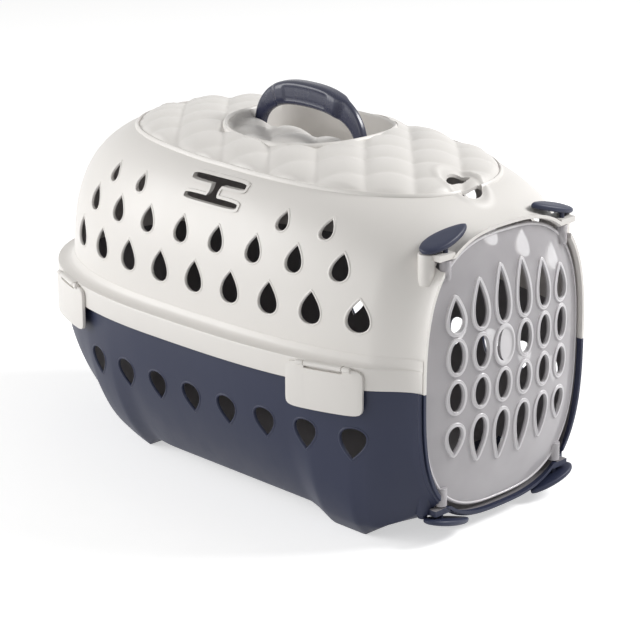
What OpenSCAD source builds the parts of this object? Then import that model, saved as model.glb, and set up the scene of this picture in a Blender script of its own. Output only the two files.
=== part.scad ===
/* [Shells] */
// Half of the width over the rim flange, at the widest station
rim_half_w = 158; // [150:1:170]
// Widest station, measured forward from the middle of the length
widest_x = -20; // [-30:1:-10]
// Reach of the rim behind the widest station
rim_rear = 237; // [225:1:245]
// Reach of the rim's plan curve ahead of the widest station, past the door
rim_front = 289; // [285:1:300]
// Height of the parting line, where the rim flange ends
parting_z = 136; // [130:1:142]
// Height of the crown
crown_z = 303; // [298:1:308]
// Height of the rim flange
flange_h = 19; // [16:1:22]
// Step from the flange face in to the wall of the upper shell, at the sides
side_step = 13; // [12:0.5:15]
// The same step at the rear end
rear_step = 17; // [15:0.5:20]
// Thickness of both shells
wall = 2.5; // [2:0.1:3]
// Inset of the lower shell's wall behind the flange face
tub_inset = 5; // [4.5:0.5:6]
// Height of the outside of the floor
floor_z = 13; // [11:0.5:14]

/* [Front frame] */
// Front plane of the frame that the door closes
frame_x = 248; // [246:0.5:250]
// Half of the frame's width
frame_half_w = 100.5; // [98:0.5:103]
// Top of the frame
frame_top = 261; // [258:1:264]
// Bottom of the frame
frame_bottom = 12; // [11.5:0.5:14]
// Length over which the shells flare out into the frame
flare_l = 44; // [36:1:50]
// Reach of the stop lips behind the door's edge, in from the frame's outline
lip_w = 9.5; // [8:0.5:12]
// Half of the length of each stop lip
lip_half_l = 52; // [40:1:56]

/* [Feet] */
// Station of the front feet
front_foot_x = 173; // [168:1:178]
// Station of the rear feet
rear_foot_x = -107; // [-112:1:-100]
// Half length of the swelling that makes a foot
foot_half_l = 44; // [38:1:48]
// Half of the gap between a left and a right foot
arch_half_w = 56; // [50:1:60]

/* [Air holes] */
// Number of drops in the long row
drops = 9; // [8:1:9]
// Spacing of the drops
drop_pitch = 43.4; // [42:0.2:45]
// Station of the frontmost drop
first_drop_x = 194.5; // [190:0.5:198]
// Height of the long row in the upper shell
long_row_z = 195; // [190:1:200]
// Height of the middle row
middle_row_z = 231; // [228:1:236]
// Height of the top row
top_row_z = 257; // [254:1:260]
// Height of the row in the lower shell
tub_row_z = 87; // [82:1:92]
// Width of a drop in the long row
long_drop_w = 21; // [18:0.5:23]
// Width of a drop in the middle row
middle_drop_w = 17; // [15:0.5:19]
// Width of a drop in the top row
top_drop_w = 12; // [10:0.5:14]
// Width of a drop in the lower shell
tub_drop_w = 22; // [18:0.5:24]

/* [Roof] */
// Station of the middle of the handle's recess
recess_x = 16.5; // [10:0.5:24]
// Half length of the recess
recess_a = 72; // [70:0.5:78]
// Half width of the recess
recess_b = 68; // [64:0.5:74]
// Height of the pocket's floor
pocket_z = 270; // [266:1:272]
// Distance of the pocket's near wall from the centre line
pocket_y = 8; // [7.5:0.5:12]
// Half length of the quilted panel
panel_a = 185; // [175:1:188]
// Half width of the quilted panel
panel_b = 103; // [96:1:106]
// Station of the front strap eye
front_eye_x = 197; // [192:1:202]
// Station of the rear strap eye
rear_eye_x = -168; // [-174:1:-162]
// Radius of a strap eye's opening
eye_r = 15; // [12:0.5:17]
// Width of the bar across a strap eye
eye_bar_w = 9; // [7:0.5:11]
// Station of the middle of a belt slot
slot_x = 24; // [16:1:32]
// Length of a belt slot
slot_l = 64; // [56:1:70]

/* [Handle] */
// Height of the handle's pivot
handle_z = 283; // [280:0.5:285]
// Rise of the arch over the pivot
handle_h = 56; // [50:1:58]
// Height of the grip's section
grip_h = 22; // [18:1:24]
// Thickness of the grip
grip_t = 16; // [12:0.5:18]
// Thickness of the legs
leg_t = 8.5; // [7:0.5:10]
// Width of the legs
leg_w = 10; // [8:0.5:12]
// Radius of the handle's stubs
stub_r = 3; // [2.5:0.1:3.5]

/* [Clips] */
// Station of the front clips
front_clip_x = 174; // [168:1:178]
// Station of the rear clips
rear_clip_x = -152; // [-158:1:-146]
// Length of a clip
clip_l = 70; // [60:1:74]
// Height of a clip's lower edge
clip_low_z = 114; // [110:1:118]
// Thickness of a clip's plate
clip_t = 2.8; // [2.4:0.1:3.4]
// Radius of the knuckles
knuckle_r = 2.2; // [2:0.1:2.4]
// Radius of the clip's rod
rod_r = 1.2; // [1:0.1:1.4]
// Length of the notch for the flange's lug
notch_l = 35; // [30:1:38]

/* [Door] */
// Gap between the door's edge and the frame's outline, at the sides
door_side_gap = 4; // [3.5:0.5:6]
// The same gap at the top and the bottom
door_end_gap = 6.5; // [5.5:0.5:8]
// Station of the back of the door's edge
door_x = 240; // [239.5:0.5:241]
// Bulge of the door
bulge = 13.7; // [10:0.1:15]
// Thickness of the door
door_t = 2.5; // [2:0.1:3]
// Spacing of the columns of holes
column_pitch = 26; // [25:0.5:27]
// Width of the door's holes
hole_w = 15; // [12:0.5:17]

/* [Catches] */
// Distance of the locking pins in from the side of the frame
pin_inset = 28.3; // [27.5:0.1:29]
// Station of the locking pins
pin_x = 242.5; // [242:0.1:243]
// Radius of the locking pins
pin_r = 2; // [1.6:0.1:2.2]
// Length of a pad
pad_l = 52; // [46:1:54]
// Width of a pad
pad_w = 22; // [20:0.5:24]
// Thickness of a pad
pad_t = 5; // [4:0.2:6]

/* [Hidden] */
$fn = 48;
shell_colour = "#e4dfd8";
navy = "#3a3f58";
smoke = "#8a8f92";

fit = 0.06;
gap = 0.3;
over = 1;
rear_plan_p = 2.3;
front_plan_p = 3;
dome_p = 3.2;
tub_p = 2.1;
tub_reach = 175;
frame_p = 2.85;
foot_p = 2.35;
arch_l = 22;
keep_start = 30;
recess_p = 2.5;
door_p = 2.3;
dome_half_w = rim_half_w - side_step;
dome_rear = rim_rear - rear_step;
dome_front = rim_front + 10;
dome_h = crown_z - parting_z;
rows_round = 26;
frame_mid_z = (frame_top + frame_bottom) / 2;
door_half_w = frame_half_w - door_side_gap;
door_half_h = (frame_top - frame_bottom) / 2 - door_end_gap;
pin_y = frame_half_w - pin_inset;
ledge_z = parting_z + flange_h;
frame_bead = 1;
tongue_end_x = 222;
frame_wall_x = 234;

function fall(u, p) = pow(max(0, 1 - pow(abs(u), p)), 1 / p);
function mix(a, b, t) = a + (b - a) * t;
function clamp(t) = min(1, max(0, t));
function smooth(t) = let(c = clamp(t)) c * c * (3 - 2 * c);
function bell(d, half) = abs(d) >= half ? 0 : min(1, 0.8 * (1 + cos(180 * d / half)));
function flare(x) = pow(clamp((x - frame_x + flare_l) / flare_l), 1.8);
function ahead(x) = x > widest_x;
function plan_p(x) = ahead(x) ? front_plan_p : rear_plan_p;
function oval(a, b, p, n) = [for (i = [0 : n - 1]) let(t = 360 * i / n)
    [a * sign(cos(t)) * pow(abs(cos(t)), 2 / p), b * sign(sin(t)) * pow(abs(sin(t)), 2 / p)]];

// Half width of a plan outline at station x, before the flare
function plan_w(x, half_w, rear, front) =
    half_w * fall((x - widest_x) / (ahead(x) ? front : rear), plan_p(x));

// Half width of the rim flange, with the flare
function rim_w(x, inset) =
    let(w = plan_w(x, rim_half_w - inset, rim_rear - inset, rim_front))
    mix(w, frame_half_w + frame_bead - inset, flare(x));

// Half width of the upper shell's wall above the flange, set in by t
function dome_w(x, t) =
    let(w = plan_w(x, dome_half_w - t, dome_rear - t, dome_front))
    mix(w, frame_half_w - t, flare(x));

// Half width of the lower shell's edge, set in by t
function tub_w(x, t) =
    let(w = plan_w(x, rim_half_w - tub_inset - t, rim_rear - tub_inset - t, rim_front))
    mix(w, frame_half_w - t, flare(x));

// Height of the roof over a point of the plan
function dome_z(x, y) =
    let(u = abs(x - widest_x) / (ahead(x) ? dome_front : dome_rear), p = plan_p(x))
    parting_z + dome_h * fall(pow(pow(abs(y) / dome_half_w, p) + pow(u, p), 1 / p), dome_p);

// One section of the upper shell at x, set in by t: angle 0 at the rim, 90 at the crest
function dome_point(x, angle, t) =
    let(u = abs(x - widest_x) / ((ahead(x) ? dome_front : dome_rear) - t))
    let(h = (dome_h - t) * fall(u, dome_p) * pow(abs(sin(angle)), 2 / dome_p))
    let(k = pow(max(0, 1 - pow(h / (dome_h - t), dome_p)), plan_p(x) / dome_p))
    let(y = (dome_half_w - t) * pow(max(0, k - pow(u, plan_p(x))), 1 / plan_p(x)))
    let(fy = (frame_half_w - t) * pow(abs(cos(angle)), 2 / frame_p))
    let(fh = (frame_top - parting_z - t) * pow(abs(sin(angle)), 2 / frame_p))
    [x, -sign(cos(angle)) * mix(y, fy, flare(x)), parting_z + mix(h, fh, flare(x))];

// One section of the lower shell at x, set in by t; it stays wide at the floor and reaches down in the feet
function tub_point(x, angle, t) =
    let(half_w = rim_half_w - tub_inset - t, rear = rim_rear - tub_inset - t)
    let(u = abs(x - widest_x) / (ahead(x) ? rim_front : rear))
    let(foot = max(bell(x - front_foot_x, foot_half_l), bell(x - rear_foot_x, foot_half_l)))
    let(p = mix(tub_p, foot_p, foot), deep = tub_reach - t)
    let(full = ahead(x) ? deep : deep * fall(u, p))
    let(d = full * pow(abs(sin(angle)), 2 / p))
    let(k = fall(d / deep, p))
    let(keep = pow(clamp((d - keep_start) / (parting_z - floor_z - keep_start)), 1.5) * (1 - flare(x)))
    let(y = ahead(x) ? half_w * k * mix(fall(u, front_plan_p), 1, keep)
        : half_w * pow(max(0, pow(k, rear_plan_p) - pow(u, rear_plan_p)), 1 / rear_plan_p))
    let(arch = floor_z * (1 - smooth((y - arch_half_w) / arch_l)))
    let(z = max(parting_z - d, mix(floor_z, arch, foot) + t))
    let(fy = (frame_half_w - t) * pow(abs(cos(angle)), 2 / frame_p))
    let(fd = (parting_z - frame_bottom - t) * pow(abs(sin(angle)), 2 / frame_p))
    [x, -sign(cos(angle)) * mix(y, fy, flare(x)), mix(z, parting_z - fd, flare(x))];

// Stations along the length: a rounded tail, even steps, then the flare
tail_x = -140;
tail_steps = 8;
step_l = 16;
outline_step_l = 10;
flare_stations = [for (i = [1 : 5]) frame_x - flare_l + i * flare_l / 5];
function tail(rear, n) =
    let(a = acos(pow((widest_x - tail_x) / rear, rear_plan_p / 2)))
    [for (i = [0 : n - 1]) widest_x - rear * pow(cos(4 + (a - 4) * i / n), 2 / rear_plan_p)];
function stations(rear, step) =
    concat(tail(rear, tail_steps), [for (x = [tail_x : step : frame_x - flare_l]) x], flare_stations);

// A closed skin between an outer and an inner grid of points, flat at the rim and the front
module skin(outer, inner) {
    n = len(outer);
    m = len(outer[0]);
    points = concat([for (row = outer) each row], [for (row = inner) each row]);
    out = [for (i = [0 : n - 2], j = [0 : m - 2]) let(a = i * m + j)
        each [[a, a + 1, a + m + 1], [a, a + m + 1, a + m]]];
    in = [for (f = out) [f[0] + n * m, f[2] + n * m, f[1] + n * m]];
    left = [for (i = [0 : n - 2]) let(a = i * m, b = a + n * m) each [[a, a + m, b + m], [a, b + m, b]]];
    right = [for (i = [0 : n - 2]) let(a = i * m + m - 1, b = a + n * m)
        each [[a, b + m, a + m], [a, b, b + m]]];
    front = [for (j = [0 : m - 2]) let(a = (n - 1) * m + j, b = a + n * m)
        each [[a, a + 1, b + 1], [a, b + 1, b]]];
    rear_out = [for (j = [1 : m - 2]) [0, j + 1, j]];
    rear_in = [for (j = [1 : m - 2]) [n * m, n * m + j, n * m + j + 1]];
    edge = [[0, n * m, n * m + m - 1], [0, n * m + m - 1, m - 1]];
    polyhedron(points = points, faces = concat(out, in, left, right, front, rear_out, rear_in, edge));
}

// A solid through closed rings of points, with a fan over each end
module loft(rings) {
    n = len(rings);
    m = len(rings[0]);
    sides = [for (i = [0 : n - 2], j = [0 : m - 1]) let(a = i * m + j, b = i * m + (j + 1) % m)
        each [[a, b, b + m], [a, b + m, a + m]]];
    start = [for (j = [1 : m - 2]) [0, j + 1, j]];
    end = [for (j = [1 : m - 2]) let(k = (n - 1) * m) [k, k + j, k + j + 1]];
    polyhedron(points = [for (r = rings) each r], faces = concat(sides, start, end));
}

// A ridge of width w along an oval of the roof, from low under the roof to high over it
module ridge(centre_x, a, b, p, w, low, high, n) {
    out = oval(a, b, p, n);
    in = oval(a - w, b - w, p, n);
    points = [for (i = [0 : n - 1]) let(o = out[i], k = in[i])
        let(zo = dome_z(centre_x + o[0], o[1]), zi = dome_z(centre_x + k[0], k[1]))
        each [[centre_x + o[0], o[1], zo - low], [centre_x + o[0], o[1], zo + high],
            [centre_x + k[0], k[1], zi + high], [centre_x + k[0], k[1], zi - low]]];
    polyhedron(points = points, faces = [for (i = [0 : n - 1], j = [0 : 3])
        let(q = 4 * i + j, r = 4 * i + (j + 1) % 4)
        let(s = 4 * ((i + 1) % n) + j, t = 4 * ((i + 1) % n) + (j + 1) % 4)
        each [[q, r, t], [q, t, s]]]);
}

// A drop with its point up, as wide and as high as given
module drop(w, h) {
    polygon([for (i = [0 : 13]) let(a = 360 * i / 14) [w / 1.54 * sin(a) * sin(a / 2), h / 2 * cos(a)]]);
}

module through_hole(x, z) {
    reach = rim_half_w + 10;
    translate([x, reach, z]) rotate([90, 0, 0]) linear_extrude(2 * reach) children();
}

// A plan outline from a list of half widths
module outline(xs, half_ws) {
    n = len(xs);
    right = [for (i = [0 : n - 1]) [xs[i], -half_ws[i]]];
    left = [for (i = [n - 1 : -1 : 0]) [xs[i], half_ws[i]]];
    polygon(concat(right, left));
}

module rim_outline(inset, end_x) {
    xs = concat([for (x = stations(rim_rear - inset, outline_step_l)) if (x < end_x) x], [end_x]);
    outline(xs, [for (x = xs) rim_w(x, inset)]);
}

module dome_outline(t, end_x) {
    xs = concat([for (x = stations(dome_rear - t, outline_step_l)) if (x < end_x) x], [end_x]);
    outline(xs, [for (x = xs) dome_w(x, t)]);
}

module tub_outline(t, end_x) {
    xs = concat([for (x = stations(rim_rear - tub_inset - t, outline_step_l)) if (x < end_x) x], [end_x]);
    outline(xs, [for (x = xs) tub_w(x, t)]);
}

angles = [for (j = [0 : rows_round]) 180 * j / rows_round];

module dome_skin() {
    skin([for (x = stations(dome_rear, step_l)) [for (a = angles) dome_point(x, a, 0)]],
        [for (x = stations(dome_rear - wall, step_l)) [for (a = angles) dome_point(x, a, wall)]]);
}

module tub_skin() {
    rear = rim_rear - tub_inset;
    skin([for (x = stations(rear, step_l)) [for (a = angles) tub_point(x, 180 - a, 0)]],
        [for (x = stations(rear - wall, step_l)) [for (a = angles) tub_point(x, 180 - a, wall)]]);
}

// The space inside the front of each shell, up to a little over the middle of its wall
core_t = wall * 0.6;
module dome_core() {
    loft([for (i = [0 : 5]) [for (a = angles)
        let(q = dome_point(flare_stations[min(i, 4)], a, core_t))
        [q[0] + (i == 5 ? over : 0), q[1], q[2]]]]);
}

module tub_core() {
    loft([for (i = [0 : 5]) [for (a = angles)
        let(q = tub_point(flare_stations[min(i, 4)], 180 - a, core_t))
        [q[0] + (i == 5 ? over : 0), q[1], q[2]]]]);
}

// Swaps the top and the bottom of the frame
module upside_down() {
    translate([0, 0, 2 * frame_mid_z]) mirror([0, 0, 1]) children();
}

module both_sides() {
    children();
    mirror([0, 1, 0]) children();
}

// Corner fittings of the frame
bridge_z = frame_top - 17.8;
bridge_t = 5;
bridge_y = pin_y - 6.2;
bridge_back_x = 229;
bridge_top_z = bridge_z + bridge_t;
barrel_x = 233;
barrel_y = pin_y + 11.8;
barrel_r = 7.2;
barrel_h = 30;
stem_r = 4;
stem_low_z = bridge_z - 2.2;
lug_r = 5;
lug_z = bridge_z - 9.2;
lug_h = 8;
lug_drop = 3;
bore_start = 0.5;
corner_gap = 1.2;
bore_l = 20;

module corner_fitting() {
    translate([bridge_back_x, bridge_y, bridge_z])
        cube([frame_x - 0.5 - bridge_back_x, barrel_y - bridge_y, bridge_t]);
    translate([barrel_x, barrel_y, bridge_top_z - barrel_h]) cylinder(h = barrel_h, r = barrel_r);
}

module corner_cuts() {
    translate([pin_x, pin_y, bridge_z - over]) cylinder(h = bore_l, r = pin_r + fit);
    translate([barrel_x, barrel_y, stem_low_z - over]) cylinder(h = bore_l, r = stem_r + fit);
    translate([pin_x - lug_r - 2 * over, pin_y - lug_r - corner_gap, lug_z - lug_r])
        cube([20, 2 * (lug_r + corner_gap), bridge_z - lug_z + lug_r]);
}

// A lip behind the door's edge, across the top of the frame
lip_t = 3;
top_lip_cut = 2.2;
low_lip_cut = 0.8;
module stop_lip(h, t) {
    back = door_x - gap - lip_t;
    translate([back, 0, parting_z]) rotate([90, 0, 90]) linear_extrude(lip_t) intersection() {
        difference() {
            polygon(oval(frame_half_w - t, h - t, frame_p, 96));
            polygon(oval(frame_half_w - lip_w, h - lip_w, frame_p, 96));
        }
        translate([-lip_half_l, 0]) square([2 * lip_half_l, 200]);
    }
}

// Placing at a clip: x along the flange, -y outward
function rim_slope(x) = (rim_w(x + 1, 0) - rim_w(x - 1, 0)) / 2;
clip_axis_n = knuckle_r;
clip_axis_z = ledge_z - 2;
clip_band = 40;
module at_clip(x) {
    translate([x, -rim_w(x, 0), 0]) rotate([0, 0, -atan(rim_slope(x))]) children();
}

module flange_lug(x) {
    l = notch_l - 1;
    at_clip(x) {
        difference() {
            union() {
                translate([-l / 2, -clip_axis_n, clip_axis_z]) rotate([0, 90, 0])
                    cylinder(h = l, r = knuckle_r);
                translate([-l / 2, -clip_axis_n, clip_axis_z - knuckle_r])
                    cube([l, clip_axis_n + wall / 2, 2 * knuckle_r]);
            }
            translate([-l, -clip_axis_n, clip_axis_z]) rotate([0, 90, 0])
                cylinder(h = 2 * l, r = rod_r + fit);
        }
    }
}

keeper_half_l = 20;
keeper_t = 2.5;
keeper_inset = 1.5;
hook_h = 4;
keeper_z = clip_low_z + hook_h;
module keeper_rib(x) {
    translate([0, 0, keeper_z + gap]) linear_extrude(keeper_t) difference() {
        intersection() {
            rim_outline(keeper_inset, tongue_end_x);
            translate([x, -rim_w(x, 0)]) rotate(-atan(rim_slope(x)))
                square([2 * keeper_half_l, clip_band], center = true);
        }
        tub_outline(wall, tongue_end_x);
    }
}

// The handle's recess and the roof
panel_x = 20;
panel_p = 2.6;
lip_ridge_w = 3;
lip_ridge_h = 2;
lip_ridge_low = 1.2;
recess_ridge_h = 1.5;
recess_ridge_low = 7;
ridge_points = 64;
lip_points = 72;
boss_t = 4;
boss_wall = 3;
module recess_2d(inset) {
    translate([recess_x, 0]) polygon(oval(recess_a - inset, recess_b - inset, recess_p, ridge_points));
}

module far_half(y) {
    translate([-200, y]) square([400, 200]);
}

module pocket() {
    translate([0, 0, pocket_z - wall]) {
        linear_extrude(wall) intersection() {
            recess_2d(0);
            far_half(-pocket_y - wall);
        }
        linear_extrude(dome_z(recess_x, recess_b) - 1.7 - pocket_z + wall) intersection() {
            difference() {
                recess_2d(0);
                recess_2d(wall);
            }
            far_half(-pocket_y - wall);
        }
        linear_extrude(dome_z(recess_x + recess_a, 0) - 0.2 - pocket_z + wall) intersection() {
            recess_2d(0.5);
            translate([-200, -pocket_y - wall]) square([400, wall]);
        }
    }
    for (side = [-1, 1]) {
        translate([recess_x + side * (recess_a + 0.5), 0, handle_z]) rotate([0, 90, 0])
            cylinder(h = boss_t, r = stub_r + boss_wall, center = true);
    }
}

module pocket_cut() {
    translate([0, 0, pocket_z]) linear_extrude(60) intersection() {
        recess_2d(wall);
        far_half(-pocket_y);
    }
}

stub_reach = recess_a + 0.8;
module stub_bores() {
    start = recess_a - boss_t;
    for (side = [-1, 1]) {
        translate([recess_x + side * start, 0, handle_z]) rotate([0, side * 90, 0])
            cylinder(h = stub_reach + gap - start, r = stub_r + fit);
    }
}

module strap_eye(x) {
    translate([x, 0, crown_z - 60]) linear_extrude(80) difference() {
        circle(r = eye_r);
        square([eye_bar_w, 3 * eye_r], center = true);
    }
}

slot_h = 5.5;
slot_rise = 14.5;
slot_z = 266;
slot_web_w = 10;
slot_corner_r = 2;
module belt_slot() {
    bar = [slot_l - 2 * slot_corner_r, slot_h - 2 * slot_corner_r];
    both_sides() translate([slot_x, panel_b, slot_z]) rotate([-90, 0, 0])
        linear_extrude(rim_half_w - panel_b) {
            for (side = [-1, 1]) translate([0, side * slot_rise / 2])
                offset(r = slot_corner_r) square(bar, center = true);
            square([slot_web_w, slot_rise], center = true);
        }
}

drop_h_ratio = 4 / 3;
tub_drop_h = 27;
top_row = [1, 2, 6, 7];
module upper_shell() {
    color(shell_colour) difference() {
        union() {
            difference() {
                dome_skin();
                translate([-rim_front, -rim_half_w, parting_z - over])
                    cube([rim_front + frame_wall_x, 2 * rim_half_w, flange_h - wall + over]);
                translate([0, 0, pocket_z]) linear_extrude(60) intersection() {
                    recess_2d(over);
                    far_half(-pocket_y);
                }
            }
            translate([0, 0, parting_z]) linear_extrude(flange_h) difference() {
                rim_outline(0, frame_x - 2);
                rim_outline(wall, frame_x);
            }
            translate([0, 0, ledge_z - wall]) linear_extrude(wall) difference() {
                rim_outline(0.5, frame_wall_x + 1);
                dome_outline(wall / 2, frame_wall_x + 2);
            }
            both_sides() for (x = [front_clip_x, rear_clip_x]) flange_lug(x);
            stop_lip(frame_top - parting_z, top_lip_cut);
            difference() {
                both_sides() corner_fitting();
                dome_core();
            }
            ridge(recess_x, recess_a, recess_b, recess_p,
                wall, recess_ridge_low, recess_ridge_h, ridge_points);
            ridge(panel_x, panel_a, panel_b, panel_p,
                lip_ridge_w, lip_ridge_low, lip_ridge_h, lip_points);
            pocket();
        }
        both_sides() corner_cuts();
        stub_bores();
        pocket_cut();
        for (x = [front_eye_x, rear_eye_x]) strap_eye(x);
        belt_slot();
        for (i = [0 : drops - 1]) through_hole(first_drop_x - i * drop_pitch, long_row_z)
            drop(long_drop_w, long_drop_w * drop_h_ratio);
        for (i = [0 : drops - 2]) through_hole(first_drop_x - (i + 0.5) * drop_pitch, middle_row_z)
            drop(middle_drop_w, middle_drop_w * drop_h_ratio);
        for (i = top_row) through_hole(first_drop_x - i * drop_pitch, top_row_z)
            drop(top_drop_w, top_drop_w * drop_h_ratio);
    }
}

tongue_root = 2;
module lower_shell() {
    color(navy) difference() {
        union() {
            tub_skin();
            translate([0, 0, parting_z - tongue_root]) linear_extrude(flange_h - wall + tongue_root)
                difference() {
                    tub_outline(0, tongue_end_x);
                    tub_outline(wall, tongue_end_x + over);
                }
            both_sides() for (x = [front_clip_x, rear_clip_x]) keeper_rib(x);
            translate([0, 0, 2 * parting_z]) mirror([0, 0, 1])
                stop_lip(parting_z - frame_bottom, low_lip_cut);
            difference() {
                upside_down() both_sides() corner_fitting();
                tub_core();
            }
        }
        upside_down() both_sides() corner_cuts();
        for (i = [0 : drops - 2]) through_hole(first_drop_x - i * drop_pitch, tub_row_z)
            mirror([0, 1]) drop(tub_drop_w, tub_drop_h);
    }
}

// The door's panel: rings from the middle to the edge, front and back
door_rings = 8;
door_round = 48;
module door_panel() {
    loft([for (i = [0 : 2 * door_rings - 1])
        let(r = (i < door_rings ? i + 1 : 2 * door_rings - i) / door_rings)
        let(x = door_x + bulge * (1 - pow(r, door_p)))
        [for (q = oval(door_half_w * r, door_half_h * r, frame_p, door_round))
            [x + (i < door_rings ? 0 : door_t), -q[0], frame_mid_z + q[1]]]]);
}

module door_hole(y, z) {
    translate([door_x - 20, y, frame_mid_z + z]) rotate([90, 0, 90]) linear_extrude(60) children();
}

module door_lug(closed) {
    start = lug_r + lug_drop + bore_start;
    translate([pin_x, pin_y, lug_z - lug_r - lug_drop]) difference() {
        cylinder(h = lug_h + lug_r + lug_drop, r = lug_r);
        translate([0, 0, start]) cylinder(h = lug_h, r = pin_r + (closed ? fit : gap));
        if (!closed) translate([-lug_r - over, -pin_r - gap, start])
            cube([lug_r + over, 2 * (pin_r + gap), lug_h]);
    }
}

// The four rows of holes: heights from the door's middle, and sizes from the middle column out
top_h = [46, 39, 29];
top_z = [66.5, 63.5, 58.5];
low_h = [42, 37, 25];
low_z = [-54.5, -52, -48.5];
high_oval_z = 23.5;
high_oval_h = 27;
low_oval_z = -11;
low_oval_h = 25;
disc_w = 25;
disc_h = 36;
disc_t = 4.3;
disc_sink = 1.5;

module oval_hole(h) {
    scale([hole_w, h]) circle(d = 1, $fn = 24);
}

module door() {
    column = [0.5, 1.5, 2.5] * column_pitch;
    color(smoke, 0.5) {
        difference() {
            union() {
                door_panel();
                for (side = [-1, 1]) mirror([0, side > 0 ? 0 : 1, 0]) {
                    door_lug(side > 0);
                    upside_down() door_lug(side > 0);
                }
            }
            for (side = [-1, 1], i = [0 : 2]) {
                door_hole(side * column[i], top_z[i]) drop(hole_w, top_h[i]);
                door_hole(side * column[i], low_z[i]) mirror([0, 1]) drop(hole_w, low_h[i]);
                door_hole(side * column[i], low_oval_z) oval_hole(low_oval_h);
                if (side > 0 || i > 0) door_hole(side * column[i], high_oval_z) oval_hole(high_oval_h);
            }
        }
        translate([door_x + bulge - disc_sink, -column[0], frame_mid_z + high_oval_z]) rotate([90, 0, 90])
            linear_extrude(disc_t) scale([disc_w, disc_h]) circle(d = 1, $fn = 32);
    }
}

// The handle, upright; its profile lies across the carrier's length
leg_out = recess_a - wall - 1;
arch_points = 96;
grip_l = 82;
grip_r = 4;
side_panel_l = 44;
side_panel_h = 5;
side_panel_r = 4;
side_panel_depth = 1.2;
foot_r = 6.5;
module handle_arch() {
    intersection() {
        difference() {
            polygon(oval(leg_out, handle_h, recess_p, arch_points));
            polygon(oval(leg_out - leg_w, handle_h - grip_h, recess_p, arch_points));
        }
        translate([-leg_out, 0]) square([2 * leg_out, handle_h]);
    }
}

module grip_2d() {
    offset(r = grip_r) offset(delta = -grip_r) intersection() {
        handle_arch();
        translate([-grip_l / 2, 0]) square([grip_l, handle_h]);
    }
}

module handle() {
    color(navy) translate([recess_x, 0, handle_z]) {
        difference() {
            union() {
                translate([0, leg_t / 2, 0]) rotate([90, 0, 0]) linear_extrude(leg_t) handle_arch();
                translate([0, grip_t / 2, 0]) rotate([90, 0, 0]) linear_extrude(grip_t) grip_2d();
            }
            for (side = [-1, 1])
                translate([0, side * (grip_t / 2 - side_panel_depth), handle_h - grip_h / 2 - 0.5])
                    rotate([side * -90, 0, 0]) linear_extrude(side_panel_depth + over)
                        offset(r = side_panel_r) square([side_panel_l, side_panel_h], center = true);
        }
        for (side = [-1, 1]) {
            translate([side * (leg_out - leg_w), 0, 0]) rotate([0, side * 90, 0])
                cylinder(h = leg_w, r = foot_r);
            translate([side * (leg_out - 2), 0, 0]) rotate([0, side * 90, 0])
                cylinder(h = stub_reach - leg_out + 2, r = stub_r);
        }
    }
}

// A clip on the right: a plate that follows the flange, with knuckles, a rod and a hook
clip_clear = 0.6;
clip_corner_r = 4;
knuckle_l = 7;
hook_out = 1;
hook_clear = 1;
module clip(x) {
    a = -atan(rim_slope(x));
    plate = [clip_l - 2 * clip_corner_r, clip_axis_z - clip_low_z - 2 * clip_corner_r];
    color(shell_colour) {
        intersection() {
            translate([0, 0, clip_low_z]) linear_extrude(clip_axis_z - clip_low_z) intersection() {
                difference() {
                    rim_outline(-clip_clear - clip_t, frame_x - 2);
                    rim_outline(-clip_clear, frame_x);
                }
                translate([x, -rim_w(x, 0)]) rotate(a) square([clip_l, clip_band], center = true);
            }
            at_clip(x) translate([0, clip_band / 2, 0]) rotate([90, 0, 0]) linear_extrude(clip_band)
                difference() {
                    translate([0, (clip_low_z + clip_axis_z) / 2])
                        offset(r = clip_corner_r) square(plate, center = true);
                    translate([-notch_l / 2, clip_axis_z - knuckle_r - 2]) square([notch_l, 20]);
                }
        }
        translate([0, 0, clip_low_z]) linear_extrude(keeper_z - clip_low_z) intersection() {
            difference() {
                rim_outline(-clip_clear - hook_out, tongue_end_x);
                rim_outline(tub_inset - hook_clear, tongue_end_x + over);
            }
            translate([x, -rim_w(x, 0)]) rotate(a)
                square([2 * keeper_half_l - 4, clip_band], center = true);
        }
        at_clip(x) {
            for (side = [0, 1]) mirror([side, 0, 0])
                translate([notch_l / 2 + gap, -clip_axis_n, clip_axis_z]) rotate([0, 90, 0])
                    cylinder(h = knuckle_l, r = knuckle_r);
            translate([-notch_l / 2 - 2, -clip_axis_n, clip_axis_z]) rotate([0, 90, 0])
                cylinder(h = notch_l + 4, r = rod_r);
        }
    }
}

// A catch at the top, on the left: a sloping pad with its stem and its locking pin
pad_slope = 14;
pad_pitch = 5;
pad_low_z = bridge_top_z + 2.2;
pad_mid_y = barrel_y - 19;
pad_mid_x = 235;
low_pad_x = 244;
pin_low_z = lug_z + 3;
module catch(pad_x) {
    color(navy) {
        translate([pad_x, barrel_y, pad_low_z]) rotate([-pad_slope, pad_pitch, 0])
            translate([0, pad_mid_y - barrel_y, 0]) linear_extrude(pad_t) mirror([0, 1]) drop(pad_w, pad_l);
        translate([pin_x, pin_y, pin_low_z]) cylinder(h = pad_low_z + 4 - pin_low_z, r = pin_r);
        translate([barrel_x, barrel_y, stem_low_z]) cylinder(h = pad_low_z + 2 - stem_low_z, r = stem_r);
    }
}

module clip_front_left() { mirror([0, 1, 0]) clip(front_clip_x); }
module clip_front_right() { clip(front_clip_x); }
module clip_rear_left() { mirror([0, 1, 0]) clip(rear_clip_x); }
module clip_rear_right() { clip(rear_clip_x); }
module catch_top_left() { catch(pad_mid_x); }
module catch_top_right() { mirror([0, 1, 0]) catch(pad_mid_x); }
module catch_bottom_left() { upside_down() catch(low_pad_x); }
module catch_bottom_right() { upside_down() mirror([0, 1, 0]) catch(low_pad_x); }

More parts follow.
